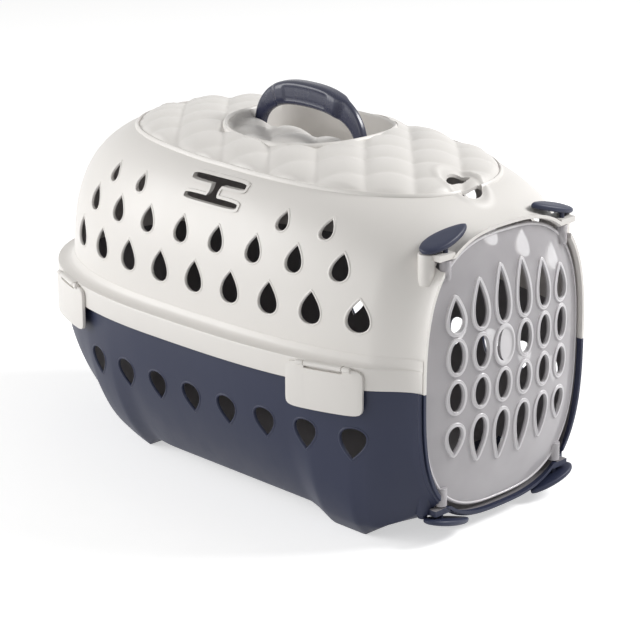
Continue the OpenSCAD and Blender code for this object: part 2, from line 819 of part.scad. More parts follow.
upper_shell();
lower_shell();
door();
handle();
clip_front_left();
clip_front_right();
clip_rear_left();
clip_rear_right();
catch_top_left();
catch_top_right();
catch_bottom_left();
catch_bottom_right();
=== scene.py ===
"""Looks of a two-part plastic pet carrier: two shells, a clear door, a folding handle, clips and catches.

Lengths are in millimetres in the classes below, and become metres when a mesh is made.
The front of the carrier faces +X, and +Z is up.
"""

from __future__ import annotations

import logging
import math
from dataclasses import dataclass, field
from enum import Enum
from typing import Any, Callable, Iterable, Sequence

import bmesh
import bpy
import numpy as np
from mathutils import Matrix, Vector
from mathutils.bvhtree import BVHTree

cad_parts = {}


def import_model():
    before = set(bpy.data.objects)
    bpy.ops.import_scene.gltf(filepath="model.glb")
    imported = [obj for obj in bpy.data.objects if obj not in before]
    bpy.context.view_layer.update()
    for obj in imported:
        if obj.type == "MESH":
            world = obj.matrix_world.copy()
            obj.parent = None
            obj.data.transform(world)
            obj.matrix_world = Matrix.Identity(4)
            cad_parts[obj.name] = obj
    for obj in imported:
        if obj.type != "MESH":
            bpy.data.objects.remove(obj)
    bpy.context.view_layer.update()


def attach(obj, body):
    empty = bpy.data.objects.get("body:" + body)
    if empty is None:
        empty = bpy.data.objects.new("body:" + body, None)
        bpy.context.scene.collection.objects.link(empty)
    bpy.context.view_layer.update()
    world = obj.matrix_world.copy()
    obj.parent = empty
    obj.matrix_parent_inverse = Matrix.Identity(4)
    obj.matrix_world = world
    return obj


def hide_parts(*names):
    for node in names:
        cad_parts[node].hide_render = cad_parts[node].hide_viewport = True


LOG = logging.getLogger("carrier")
MM = 0.001
Point = tuple[float, float, float]
Span = tuple[float, float]


class Side(Enum):
    """The two long sides of the carrier, as signs along Y."""

    LEFT = 1
    RIGHT = -1


class Level(Enum):
    """The two ends of the front frame, as signs along Z."""

    TOP = 1
    BOTTOM = -1


def unit(t: float) -> float:
    """Limits a number to 0..1."""
    return min(1.0, max(0.0, t))


def smooth(t: float) -> float:
    """Gives a soft step from 0 to 1."""
    c = unit(t)
    return c * c * (3 - 2 * c)


def reach(x: float, y: float, a: float, b: float, p: float) -> float:
    """Gives a point's distance from the middle of a superellipse, as 1 on its edge."""
    return ((abs(x) / a) ** p + (abs(y) / b) ** p) ** (1 / p)


def fall(u: float, p: float) -> float:
    """Gives the superellipse's height at u, for an exponent p."""
    return max(0.0, 1 - abs(u) ** p) ** (1 / p)


def mix(a: float, b: float, t: float) -> float:
    """Blends a into b."""
    return a + (b - a) * t


def oval(a: float, b: float, p: float, n: int) -> np.ndarray:
    """Gives evenly spread points of a superellipse.

    Args:
        a: Half length.
        b: Half width.
        p: Exponent.
        n: Number of points.

    Returns:
        The points, n by 2, anticlockwise.
    """
    t = np.linspace(0, 2 * np.pi, n, endpoint=False)
    c, s = np.cos(t), np.sin(t)
    r = (np.abs(c) ** p + np.abs(s) ** p) ** (-1 / p)
    return np.stack([a * c * r, b * s * r], axis=1)


def drop(w: float, h: float, n: int = 40, grow: float = 0.0) -> np.ndarray:
    """Gives the outline of an air hole: a drop with its point up.

    Args:
        w: Width.
        h: Height.
        n: Number of points.
        grow: Offset outward.

    Returns:
        The points, n by 2, anticlockwise.
    """
    a = np.linspace(0, 2 * np.pi, n, endpoint=False)
    pts = np.stack([-w / 1.54 * np.sin(a) * np.abs(np.sin(a / 2)), h / 2 * np.cos(a)], axis=1)
    if grow:
        ahead, behind = np.roll(pts, -1, axis=0), np.roll(pts, 1, axis=0)
        d = ahead - behind
        d /= np.maximum(np.linalg.norm(d, axis=1, keepdims=True), 1e-9)
        pts = pts + grow * np.stack([d[:, 1], -d[:, 0]], axis=1)
    return pts


@dataclass(frozen=True)
class ShellForm:
    """The carrier's outer form, with the same named sizes as the part's source."""

    rim_half_w: float = 158
    widest_x: float = -20
    rim_rear: float = 237
    rim_front: float = 289
    parting_z: float = 136
    crown_z: float = 303
    flange_h: float = 19
    side_step: float = 13
    rear_step: float = 17
    wall: float = 2.5
    tub_inset: float = 5
    floor_z: float = 13
    frame_x: float = 248
    frame_half_w: float = 100.5
    frame_top: float = 261
    frame_bottom: float = 12
    flare_l: float = 44
    front_foot_x: float = 173
    rear_foot_x: float = -107
    foot_half_l: float = 44
    arch_half_w: float = 56
    arch_l: float = 22
    keep_start: float = 30
    rear_p: float = 2.3
    front_p: float = 3.0
    dome_p: float = 3.2
    tub_p: float = 2.1
    tub_reach: float = 175
    frame_p: float = 2.85
    foot_p: float = 2.35

    @property
    def dome_half_w(self) -> float:
        """Half width of the upper shell above the flange."""
        return self.rim_half_w - self.side_step

    @property
    def dome_front(self) -> float:
        """Reach of the upper shell's plan curve before the widest station."""
        return self.rim_front + 10

    @property
    def dome_h(self) -> float:
        """Height of the crown over the parting line."""
        return self.crown_z - self.parting_z

    @property
    def mid_z(self) -> float:
        """Middle height of the front frame."""
        return (self.frame_top + self.frame_bottom) / 2

    def plan_p(self, x: float) -> float:
        """Exponent of the plan outline at x."""
        return self.front_p if x > self.widest_x else self.rear_p

    def dome_reach(self, x: float) -> float:
        """Reach of the upper shell's plan curve on the side of x."""
        return self.dome_front if x > self.widest_x else self.rim_rear - self.rear_step

    def flare(self, x: float) -> float:
        """Share of the front frame's section at x."""
        return unit((x - self.frame_x + self.flare_l) / self.flare_l) ** 1.8

    def plan_w(self, x: float, half_w: float, rear: float, front: float) -> float:
        """Half width of a plan outline at x."""
        u = (x - self.widest_x) / (front if x > self.widest_x else rear)
        return half_w * fall(u, self.plan_p(x))

    def rim_w(self, x: float, t: float) -> float:
        """Half width of the rim flange at x, set in by t."""
        w = self.plan_w(x, self.rim_half_w - t, self.rim_rear - t, self.rim_front)
        return mix(w, self.frame_half_w + 1 - t, self.flare(x))

    def dome_w(self, x: float, t: float) -> float:
        """Half width of the upper shell's wall at x, set in by t."""
        w = self.plan_w(x, self.dome_half_w - t, self.rim_rear - self.rear_step - t, self.dome_front)
        return mix(w, self.frame_half_w - t, self.flare(x))

    def tub_w(self, x: float, t: float) -> float:
        """Half width of the lower shell's edge at x, set in by t.

        Args:
            x: Station.
            t: Distance inward from the outside.

        Returns:
            The half width.
        """
        t2 = t + self.tub_inset
        w = self.plan_w(x, self.rim_half_w - t2, self.rim_rear - t2, self.rim_front)
        return mix(w, self.frame_half_w - t, self.flare(x))

    def dome_z(self, x: float, y: float) -> float:
        """Height of the plain roof over a point of the plan.

        Args:
            x: Station.
            y: Place across.

        Returns:
            The height.
        """
        p, u = self.plan_p(x), abs(x - self.widest_x) / self.dome_reach(x)
        k = ((abs(y) / self.dome_half_w) ** p + u**p) ** (1 / p)
        return self.parting_z + self.dome_h * fall(k, self.dome_p)

    def dome_point(self, x: float, phi: float, t: float) -> Point:
        """Gives a point of the upper shell.

        Args:
            x: Station.
            phi: Angle round the section, 0 at the right rim, pi/2 at the crest.
            t: Distance inward from the outside.

        Returns:
            The point.
        """
        c, s = math.cos(phi), abs(math.sin(phi))
        r = (abs(c) ** self.dome_p + s**self.dome_p) ** (-1 / self.dome_p)
        hn = s * r
        p = self.plan_p(x)
        u = min(1.0, abs(x - self.widest_x) / (self.dome_reach(x) - t))
        full = fall(u, self.dome_p)
        h = (self.dome_h - t) * full * hn
        k = max(0.0, 1 - (full * hn) ** self.dome_p) ** (p / self.dome_p)
        y = (self.dome_half_w - t) * max(0.0, k - u**p) ** (1 / p)
        q = (abs(c) ** self.frame_p + s**self.frame_p) ** (-1 / self.frame_p)
        fy = (self.frame_half_w - t) * abs(c) * q
        fh = (self.frame_top - self.parting_z - t) * s * q
        f = self.flare(x)
        return (x, -math.copysign(1, c) * mix(y, fy, f), self.parting_z + mix(h, fh, f))

    def foot(self, x: float) -> float:
        """Share of a foot's section at x.

        Args:
            x: Station.

        Returns:
            The share, 0 to 1.
        """

        def bell(d: float) -> float:
            """Gives the swelling at distance d from a foot's middle."""
            if abs(d) >= self.foot_half_l:
                return 0.0
            return min(1.0, 0.8 * (1 + math.cos(math.pi * d / self.foot_half_l)))

        return max(bell(x - self.front_foot_x), bell(x - self.rear_foot_x))

    def tub_point(self, x: float, phi: float, t: float) -> Point:
        """Gives a point of the lower shell.

        Args:
            x: Station.
            phi: Angle round the section, 0 at the right rim, pi/2 at the floor's middle.
            t: Distance inward from the outside.

        Returns:
            The point.
        """
        c, s = math.cos(phi), abs(math.sin(phi))
        half_w, rear = self.rim_half_w - self.tub_inset - t, self.rim_rear - self.tub_inset - t
        ahead = x > self.widest_x
        u = min(1.0, abs(x - self.widest_x) / (self.rim_front if ahead else rear))
        foot, g = self.foot(x), self.flare(x)
        p = mix(self.tub_p, self.foot_p, foot)
        deep = self.tub_reach - t
        d = (deep if ahead else deep * fall(u, p)) * s ** (2 / p)
        k = fall(d / deep, p)
        span = self.parting_z - self.floor_z - self.keep_start
        keep = unit((d - self.keep_start) / span) ** 1.5 * (1 - g)
        if ahead:
            y = half_w * k * mix(fall(u, self.front_p), 1, keep)
        else:
            y = half_w * max(0.0, k**self.rear_p - u**self.rear_p) ** (1 / self.rear_p)
        arch = self.floor_z * (1 - smooth((y - self.arch_half_w) / self.arch_l))
        z = max(self.parting_z - d, mix(self.floor_z, arch, foot) + t)
        fy = (self.frame_half_w - t) * abs(c) ** (2 / self.frame_p)
        fd = (self.parting_z - self.frame_bottom - t) * s ** (2 / self.frame_p)
        return (x, -math.copysign(1, c) * mix(y, fy, g), mix(z, self.parting_z - fd, g))

    def stations(self, rear: float, step: float) -> list[float]:
        """Gives stations along the length: a rounded tail, even steps and the flare.

        Args:
            rear: Reach behind the widest station.
            step: Distance between the even steps.

        Returns:
            The stations, from the tail to the front.
        """
        start = -140.0
        first, last = math.radians(4), math.acos(((self.widest_x - start) / rear) ** (self.rear_p / 2))
        n = 34
        turns = [first + (last - first) * i / n for i in range(n)]
        tail = [self.widest_x - rear * math.cos(q) ** (2 / self.rear_p) for q in turns]
        count = int(round((self.frame_x - self.flare_l - start) / step))
        middle = [start + (self.frame_x - self.flare_l - start) * i / count for i in range(count)]
        flare = [self.frame_x - self.flare_l * (1 - i / 20) for i in range(21)]
        return tail + middle + flare


FORM = ShellForm()


class Maker:
    """Makes and joins meshes."""

    @staticmethod
    def solid(name: str, points: Sequence[Sequence[float]],
              faces: Iterable[Sequence[int]]) -> bpy.types.Object:
        """Makes an object from points in millimetres.

        Args:
            name: Name of the object.
            points: The points.
            faces: Faces as lists of point numbers.

        Returns:
            The object, linked to the scene.
        """
        mesh = bpy.data.meshes.new(name)
        co = np.asarray(points, float) * MM
        mesh.from_pydata([tuple(v) for v in co], [], [tuple(int(i) for i in f) for f in faces])
        mesh.validate()
        bm = bmesh.new()
        bm.from_mesh(mesh)
        bmesh.ops.remove_doubles(bm, verts=bm.verts, dist=1e-6)
        bmesh.ops.recalc_face_normals(bm, faces=bm.faces)
        bm.to_mesh(mesh)
        bm.free()
        obj = bpy.data.objects.new(name, mesh)
        bpy.context.scene.collection.objects.link(obj)
        return obj

    @staticmethod
    def rings(name: str, rings: Sequence[np.ndarray], closed: bool = False) -> bpy.types.Object:
        """Makes a solid through closed rings of points.

        Args:
            name: Name of the object.
            rings: Rings of equal length, n by 3.
            closed: Joins the last ring to the first, with no caps.

        Returns:
            The object.
        """
        n, m = len(rings), len(rings[0])
        points = np.concatenate([np.asarray(r, float) for r in rings])
        faces: list[Sequence[int]] = []
        for i in range(n if closed else n - 1):
            a, b = i * m, ((i + 1) % n) * m
            for j in range(m):
                k = (j + 1) % m
                faces.append((a + j, a + k, b + k, b + j))
        if not closed:
            faces.append(tuple(range(m - 1, -1, -1)))
            faces.append(tuple(range((n - 1) * m, n * m)))
        return Maker.solid(name, points, faces)

    @staticmethod
    def prism(name: str, outline: np.ndarray, low: float, high: float, axes: str = "xyz") -> bpy.types.Object:
        """Makes a prism from an outline.

        Args:
            name: Name of the object.
            outline: Points, n by 2.
            low: Start of the prism along its axis.
            high: End of the prism.
            axes: Where the outline's two axes and the prism's axis go.

        Returns:
            The object.
        """
        order = ["xyz".index(a) for a in axes]

        def ring(level: float) -> np.ndarray:
            """Places the outline at a level."""
            out = np.zeros((len(outline), 3))
            out[:, order[0]], out[:, order[1]], out[:, order[2]] = outline[:, 0], outline[:, 1], level
            return out

        return Maker.rings(name, [ring(low), ring(high)])

    @staticmethod
    def block(name: str, low: Point, high: Point) -> bpy.types.Object:
        """Makes a box between two corners."""
        outline = np.array([[low[0], low[1]], [high[0], low[1]], [high[0], high[1]], [low[0], high[1]]])
        return Maker.prism(name, outline, low[2], high[2])

    @staticmethod
    def rod(name: str, start: Point, end: Point, r: float, n: int = 48,
            soft: float = 0.0) -> bpy.types.Object:
        """Makes a round rod.

        Args:
            name: Name of the object.
            start: Middle of one end.
            end: Middle of the other end.
            r: Radius.
            n: Points round it.
            soft: Rounding of both rims.

        Returns:
            The object.
        """
        a, b = Vector(start), Vector(end)
        way = (b - a).normalized()
        turn = way.to_track_quat("Z", "Y").to_matrix()
        length = (b - a).length
        steps = [(0.0, r - soft)]
        if soft:
            quarter = np.linspace(0, np.pi / 2, 5)
            steps = [(soft * (1 - math.cos(q)), r - soft + soft * math.sin(q)) for q in quarter]
        steps = steps + [(length - z, rr) for z, rr in reversed(steps)]
        rings = []
        for z, rr in steps:
            rings.append(np.array([
                a + turn @ Vector((rr * math.cos(q), rr * math.sin(q), z))
                for q in np.linspace(0, 2 * np.pi, n, endpoint=False)]))
        return Maker.rings(name, rings)

    @staticmethod
    def skin(name: str, outer: np.ndarray, inner: np.ndarray) -> bpy.types.Object:
        """Makes a closed skin between two grids, each stations by angles by 3.

        Args:
            name: Name of the object.
            outer: Outside grid.
            inner: Inside grid.

        Returns:
            The object.
        """
        n, m = outer.shape[:2]
        points = np.concatenate([outer.reshape(-1, 3), inner.reshape(-1, 3)])
        o = n * m
        faces: list[Sequence[int]] = []
        for i in range(n - 1):
            for j in range(m - 1):
                a = i * m + j
                faces.append((a, a + 1, a + m + 1, a + m))
                faces.append((o + a, o + a + m, o + a + m + 1, o + a + 1))
            for a, b in ((i * m, (i + 1) * m), ((i + 1) * m + m - 1, i * m + m - 1)):
                faces.append((a, b, o + b, o + a))
        last = (n - 1) * m
        for j in range(m - 1):
            faces.append((last + j, last + j + 1, o + last + j + 1, o + last + j))
        faces.append(tuple(range(m - 1, -1, -1)))
        faces.append(tuple(range(o, o + m)))
        faces.append((0, o, o + m - 1, m - 1))
        return Maker.solid(name, points, faces)

    @staticmethod
    def settle(obj: bpy.types.Object) -> None:
        """Applies an object's modifiers to its mesh.

        Args:
            obj: The object.
        """
        graph = bpy.context.evaluated_depsgraph_get()
        mesh = bpy.data.meshes.new_from_object(obj.evaluated_get(graph))
        old = obj.data
        obj.modifiers.clear()
        obj.data = mesh
        bpy.data.meshes.remove(old)

    @staticmethod
    def scrap(obj: bpy.types.Object) -> None:
        """Removes an object and its mesh.

        Args:
            obj: The object.
        """
        mesh = obj.data
        bpy.data.objects.remove(obj)
        bpy.data.meshes.remove(mesh)

    @staticmethod
    def twin(obj: bpy.types.Object) -> bpy.types.Object:
        """Makes a copy of an object with its own mesh.

        Args:
            obj: The object.

        Returns:
            The copy, linked to the scene.
        """
        copy = obj.copy()
        copy.data = obj.data.copy()
        bpy.context.scene.collection.objects.link(copy)
        return copy

    @staticmethod
    def combine(obj: bpy.types.Object, others: Sequence[bpy.types.Object], how: str) -> bpy.types.Object:
        """Joins other solids to an object, or cuts it with them.

        Args:
            obj: The object that stays.
            others: The solids, which are used up.
            how: UNION, DIFFERENCE or INTERSECT.

        Returns:
            The object.
        """
        for other in others:
            step = obj.modifiers.new("step", "BOOLEAN")
            step.operation = how
            step.object = other
            step.solver = "MANIFOLD"
        Maker.settle(obj)
        for other in others:
            Maker.scrap(other)
        return obj

    @staticmethod
    def merge(obj: bpy.types.Object, others: Sequence[bpy.types.Object]) -> bpy.types.Object:
        """Puts the meshes of other objects into one object, as separate shells.

        Args:
            obj: The object that stays.
            others: The objects, which are used up.

        Returns:
            The object.
        """
        bm = bmesh.new()
        bm.from_mesh(obj.data)
        for other in others:
            bm.from_mesh(other.data)
        bm.to_mesh(obj.data)
        bm.free()
        for other in others:
            Maker.scrap(other)
        return obj

    @staticmethod
    def flip_side(obj: bpy.types.Object, name: str, axis: int = 1, about: float = 0.0) -> bpy.types.Object:
        """Makes a mirrored copy of an object.

        Args:
            obj: The object.
            name: Name of the copy.
            axis: Axis that is mirrored, as 0, 1 or 2.
            about: Place of the mirror plane on that axis.

        Returns:
            The copy.
        """
        mesh = obj.data.copy()
        mesh.name = name
        scale = Vector((1, 1, 1))
        scale[axis] = -1
        shift = Vector((0, 0, 0))
        shift[axis] = 2 * about * MM
        mesh.transform(Matrix.Translation(shift) @ Matrix.Diagonal((*scale, 1)))
        mesh.flip_normals()
        copy = bpy.data.objects.new(name, mesh)
        bpy.context.scene.collection.objects.link(copy)
        return copy

    @staticmethod
    def soften(obj: bpy.types.Object, width: float, angle: float = 40, segments: int = 2) -> bpy.types.Object:
        """Rounds an object's sharp edges.

        Args:
            obj: The object.
            width: Width of the rounding.
            angle: Least angle of an edge, in degrees.
            segments: Faces across the rounding.

        Returns:
            The object.
        """
        edge = obj.modifiers.new("edge", "BEVEL")
        edge.width = width * MM
        edge.segments = segments
        edge.limit_method = "ANGLE"
        edge.angle_limit = math.radians(angle)
        edge.use_clamp_overlap = True
        Maker.settle(obj)
        return obj

    @staticmethod
    def shade(obj: bpy.types.Object, angle: float = 32) -> None:
        """Shades an object smooth, with creases over an angle.

        Args:
            obj: The object.
            angle: Least angle of a crease, in degrees.
        """
        mesh = obj.data
        mesh.polygons.foreach_set("use_smooth", [True] * len(mesh.polygons))
        mesh.set_sharp_from_angle(angle=math.radians(angle))
        mesh.update()


class Value:
    """A socket that works with Python's operators."""

    def __init__(self, tree: bpy.types.NodeTree, socket: bpy.types.NodeSocket) -> None:
        """Keeps the socket and its tree."""
        self.tree, self.socket = tree, socket

    def _math(self, how: str, *values: Any) -> "Value":
        """Adds a Math node over values."""
        node = Finish.node(self.tree, "ShaderNodeMath", {"operation": how}, list(values))
        return Value(self.tree, node.outputs[0])

    def __add__(self, other: Any) -> "Value":
        """Adds."""
        return self._math("ADD", self, other)

    __radd__ = __add__

    def __mul__(self, other: Any) -> "Value":
        """Multiplies."""
        return self._math("MULTIPLY", self, other)

    __rmul__ = __mul__

    def __sub__(self, other: Any) -> "Value":
        """Subtracts."""
        return self._math("SUBTRACT", self, other)

    def __rsub__(self, other: Any) -> "Value":
        """Subtracts from a number."""
        return self._math("SUBTRACT", other, self)

    def clipped(self) -> "Value":
        """Limits to 0..1."""
        return self._math("MAXIMUM", self._math("MINIMUM", self, 1.0), 0.0)


@dataclass(frozen=True)
class Finish:
    """A moulded plastic with fine grain, light mottling and a few rubbed spots; a clear one can also turn
    more opaque towards the bottom, as a painted reflection of the floor.
    """

    name: str
    colour: tuple[float, float, float]
    tint: tuple[float, float, float]
    roughness: float
    grain: float = 0.12
    mottle: float = 0.5
    alpha: float = 1.0
    specular: float = 0.5
    haze_and_floor_reflection: float = 0.0

    @staticmethod
    def node(tree: bpy.types.NodeTree, kind: str, settings: dict[str, Any], inputs: Any) -> bpy.types.Node:
        """Adds a node.

        Args:
            tree: The material's tree.
            kind: The node's type.
            settings: Attributes, which are set first.
            inputs: Values or links, as a list or by name.

        Returns:
            The node.
        """
        node = tree.nodes.new(kind)
        for key, value in settings.items():
            setattr(node, key, value)
        pairs = inputs.items() if isinstance(inputs, dict) else enumerate(inputs)
        for key, value in pairs:
            socket = value.socket if isinstance(value, Value) else value
            if isinstance(socket, bpy.types.NodeSocket):
                tree.links.new(socket, node.inputs[key])
            else:
                node.inputs[key].default_value = socket
        return node

    def make(self) -> bpy.types.Material:
        """Builds the material.

        Returns:
            The material, made once for each name.
        """
        old = bpy.data.materials.get(self.name)
        if old:
            return old
        mat = bpy.data.materials.new(self.name)
        mat.use_nodes = True
        tree = mat.node_tree
        tree.nodes.clear()
        place = self.node(tree, "ShaderNodeTexCoord", {}, {}).outputs["Object"]
        cloud = Value(tree, self.node(tree, "ShaderNodeTexNoise", {}, {
            "Vector": place, "Scale": 14.0, "Detail": 3.0, "Roughness": 0.55}).outputs["Fac"])
        fine = Value(tree, self.node(tree, "ShaderNodeTexNoise", {}, {
            "Vector": place, "Scale": 900.0, "Detail": 2.0, "Roughness": 0.6}).outputs["Fac"])
        streak = self.node(tree, "ShaderNodeMapping", {}, {
            "Vector": place, "Scale": (60.0, 60.0, 9.0), "Rotation": (0.35, 0.2, 0.0)}).outputs[0]
        rub = Value(tree, self.node(tree, "ShaderNodeTexNoise", {}, {
            "Vector": streak, "Scale": 1.0, "Detail": 4.0, "Roughness": 0.65}).outputs["Fac"])
        share = ((cloud - 0.5) * 1.6 * self.mottle + 0.5).clipped()
        colour = self.node(tree, "ShaderNodeMix", {"data_type": "RGBA"}, {
            "Factor": share, "A": (*self.colour, 1), "B": (*self.tint, 1)})
        rough = (self.roughness + (rub - 0.5) * 0.16 + (fine - 0.5) * 0.06).clipped()
        alpha: Any = self.alpha
        # For a clear plastic, alpha rises towards the bottom as a painted reflection of the white floor, and
        # varies at random with the cloud noise as real haze.
        if self.haze_and_floor_reflection:
            height = Value(tree, self.node(tree, "ShaderNodeSeparateXYZ", {}, {"Vector": place}).outputs["Z"])
            low = ((0.19 - height) * 9.0).clipped()
            alpha = (self.alpha + (low - 0.5) * self.haze_and_floor_reflection + (cloud - 0.5) * self.haze_and_floor_reflection * 2.2).clipped()
        bump = self.node(tree, "ShaderNodeBump", {}, {
            "Strength": self.grain, "Distance": 0.0002, "Height": fine})
        shader = self.node(tree, "ShaderNodeBsdfPrincipled", {}, {
            "Base Color": colour.outputs["Result"], "Roughness": rough, "Normal": bump.outputs[0],
            "IOR": 1.5, "Specular IOR Level": self.specular, "Alpha": alpha})
        self.node(tree, "ShaderNodeOutputMaterial", {}, {"Surface": shader.outputs[0]})
        return mat


SHELL = Finish("shell_plastic", (0.78, 0.755, 0.725), (0.75, 0.725, 0.69), 0.40)
# Darker copy of the shell plastic for the faces inside the cabin: painted shade, since the inside is the same
# off-white plastic.
SHELL_PAINTED_SHADE = Finish("shell_plastic_painted_shade", (0.62, 0.59, 0.57), (0.58, 0.55, 0.53), 0.55)
NAVY = Finish("navy_plastic", (0.026, 0.032, 0.066), (0.021, 0.026, 0.055), 0.46, specular=0.36)
# Grey copy of the navy plastic for the faces inside the cabin: painted light, much lighter than the navy,
# standing in for light that falls into the cabin.
NAVY_PAINTED_LIGHT = Finish("navy_plastic_painted_light", (0.25, 0.24, 0.25), (0.21, 0.20, 0.21), 0.60, specular=0.3)
GRIP = Finish("navy_gloss_plastic", (0.022, 0.026, 0.058), (0.018, 0.021, 0.048), 0.26)
# The door's lower part turns more opaque and lighter, a painted reflection of the floor.
DOOR = Finish("clear_smoke_plastic", (0.70, 0.675, 0.70), (0.60, 0.58, 0.60), 0.10, grain=0.0, alpha=0.56,
              haze_and_floor_reflection=0.16)
# Lighter, more opaque copy of the door's plastic for its hole rims, edge bead and disc: a painted highlight
# along those raised edges.
DOOR_RIM_HIGHLIGHT = Finish("clear_smoke_rim_painted_highlight", (0.80, 0.78, 0.80), (0.74, 0.72, 0.74), 0.16, grain=0.0, alpha=0.88)


def dress(obj: bpy.types.Object, finish: Finish, angle: float = 32) -> bpy.types.Object:
    """Gives an object one finish and smooth shading.

    Args:
        obj: The object.
        finish: Its finish.
        angle: Least angle of a crease, in degrees.

    Returns:
        The object.
    """
    obj.data.materials.clear()
    obj.data.materials.append(finish.make())
    Maker.shade(obj, angle)
    return obj


@dataclass(frozen=True)
class AirHole:
    """One drop-shaped air hole of a shell's side."""

    x: float
    z: float
    w: float
    h: float
    point: Level = Level.TOP

    def outline(self, grow: float = 0.0, n: int = 36) -> np.ndarray:
        """Gives the hole's outline about its middle, set out by grow."""
        pts = drop(self.w, self.h, n, grow)
        return pts if self.point is Level.TOP else pts[::-1] * np.array([1, -1])

    def cutter(self) -> bpy.types.Object:
        """Builds the prism that cuts the hole through both sides of a shell."""
        return Maker.prism("hole", self.outline(n=40) + np.array([self.x, self.z]), -220, 220, axes="xzy")


@dataclass
class HoleRims:
    """Rounded rims round the air holes of a shell."""

    body: str
    finish: Finish
    reach: float = 1.7
    rise: float = 0.55
    depth: float = 1.6

    def build(self, name: str, shell: bpy.types.Object, holes: Sequence[AirHole],
              side: Side) -> bpy.types.Object:
        """Lays a rim round each hole on one side of a shell.

        Args:
            name: Name of the piece.
            shell: The uncut shell that the rims follow.
            holes: The holes of one side.
            side: Side of the carrier.

        Returns:
            The piece.
        """
        bm = bmesh.new()
        bm.from_mesh(shell.data)
        tree = BVHTree.FromBMesh(bm)
        bm.free()
        profile = [(-0.5, -self.depth), (-0.45, -0.1), (-0.1, 0.35), (0.5, self.rise), (1.1, 0.35),
                   (self.reach, -0.15), (self.reach, -self.depth)]
        parts = []
        for hole in holes:
            loops = []
            for off, up in profile:
                loop = []
                for px, pz in hole.outline(off):
                    start = Vector(((hole.x + px) * MM, side.value * 0.4, (hole.z + pz) * MM))
                    hit, normal, _, _ = tree.ray_cast(start, Vector((0, -side.value, 0)))
                    loop.append(np.array(hit / MM + normal * up))
                loops.append(np.array(loop))
            parts.append(Maker.rings(f"rim_{hole.x:.0f}", loops, closed=True))
        piece = parts[0]
        piece.name = name
        Maker.merge(piece, parts[1:])
        dress(piece, self.finish, 60)
        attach(piece, self.body)
        return piece


def sweep_plan(profile: Sequence[tuple[float, float]], outline: Callable[[float, float], float],
               rear: Callable[[float], float], end_x: float, name: str) -> bpy.types.Object:
    """Sweeps a profile round a plan outline, from the front right, by the tail, to the front left.

    Args:
        profile: Points as inset and height, as a closed loop.
        outline: Half width at a station for an inset.
        rear: Reach behind the widest station for an inset.
        end_x: Station at which the sweep ends.
        name: Name of the piece.

    Returns:
        The swept solid.
    """
    rings = []
    fronts = list(np.linspace(end_x, FORM.widest_x, 110, endpoint=False))
    for x in fronts:
        rings.append(np.array([[x, -outline(x, t), z] for t, z in profile]))
    p = FORM.rear_p
    for phi in np.linspace(0, np.pi, 150):
        c, s = math.cos(phi), math.sin(phi)
        r = (abs(c) ** p + abs(s) ** p) ** (-1 / p)
        ring = []
        for t, z in profile:
            half = outline(FORM.widest_x, t)
            ring.append([FORM.widest_x - rear(t) * s * r, -half * c * r, z])
        rings.append(np.array(ring))
    for x in reversed(fronts):
        rings.append(np.array([[x, outline(x, t), z] for t, z in profile]))
    return Maker.rings(name, rings)


@dataclass(frozen=True)
class CornerFitting:
    """The shell's fitting at a corner of the front frame, which guides a catch."""

    stem_x: float = 233
    stem_y: float = 84
    stem_r: float = 4
    pin_x: float = 242.5
    pin_y: float = 72.2
    pin_r: float = 2
    slip: float = 0.06
    barrel_r: float = 7.2
    barrel_soft: float = 0.8
    bridge_y: float = 66
    bridge_start: float = 229
    bridge_end: float = 247.5
    notch_start: float = 235.5
    notch_end: float = 255.5
    notch_y: float = 78.4

    def solid(self, bridge: Span, barrel: Span, ring: Callable[[float], list[Point]]) -> bpy.types.Object:
        """Builds the bridges and barrels of both sides, trimmed to the outside of the shell.

        Args:
            bridge: Lower and upper height of the bridges.
            barrel: Lower and upper height of the barrels.
            ring: Gives the closed ring in the middle of the shell's wall at a station.

        Returns:
            The fittings as one solid.
        """
        parts = []
        for s in (1, -1):
            y0, y1 = sorted((s * self.bridge_y, s * self.stem_y))
            parts.append(Maker.block("bridge", (self.bridge_start, y0, bridge[0]),
                                     (self.bridge_end, y1, bridge[1])))
            low, high = [(self.stem_x, s * self.stem_y, z) for z in barrel]
            parts.append(Maker.rod("barrel", low, high, self.barrel_r, soft=self.barrel_soft))
        first = Maker.combine(parts[0], parts[1:], "UNION")
        steps = 20
        rings = []
        for i in range(steps + 1):
            points = np.array(ring(FORM.frame_x - FORM.flare_l * (1 - i / steps)))
            if i == steps:
                points[:, 0] += 2
            rings.append(points)
        return Maker.combine(first, [Maker.rings("hollow", rings)], "DIFFERENCE")

    def cuts(self, pin: Span, stem: Span, notch: Span) -> list[bpy.types.Object]:
        """Builds the bores and the notches of both sides.

        Args:
            pin: Lower and upper height of the locking pins' bores.
            stem: Lower and upper height of the stems' bores.
            notch: Lower and upper height of the notches for the door's eyelets.

        Returns:
            The cutting solids.
        """
        found = []
        for s in (-1, 1):
            low, high = [(self.pin_x, s * self.pin_y, z) for z in pin]
            found.append(Maker.rod("pin_bore", low, high, self.pin_r + self.slip))
            low, high = [(self.stem_x, s * self.stem_y, z) for z in stem]
            found.append(Maker.rod("stem_bore", low, high, self.stem_r + self.slip))
            y0, y1 = sorted((s * self.bridge_y, s * self.notch_y))
            found.append(Maker.block("notch", (self.notch_start, y0, notch[0]),
                                     (self.notch_end, y1, notch[1])))
        return found


FITTING = CornerFitting()


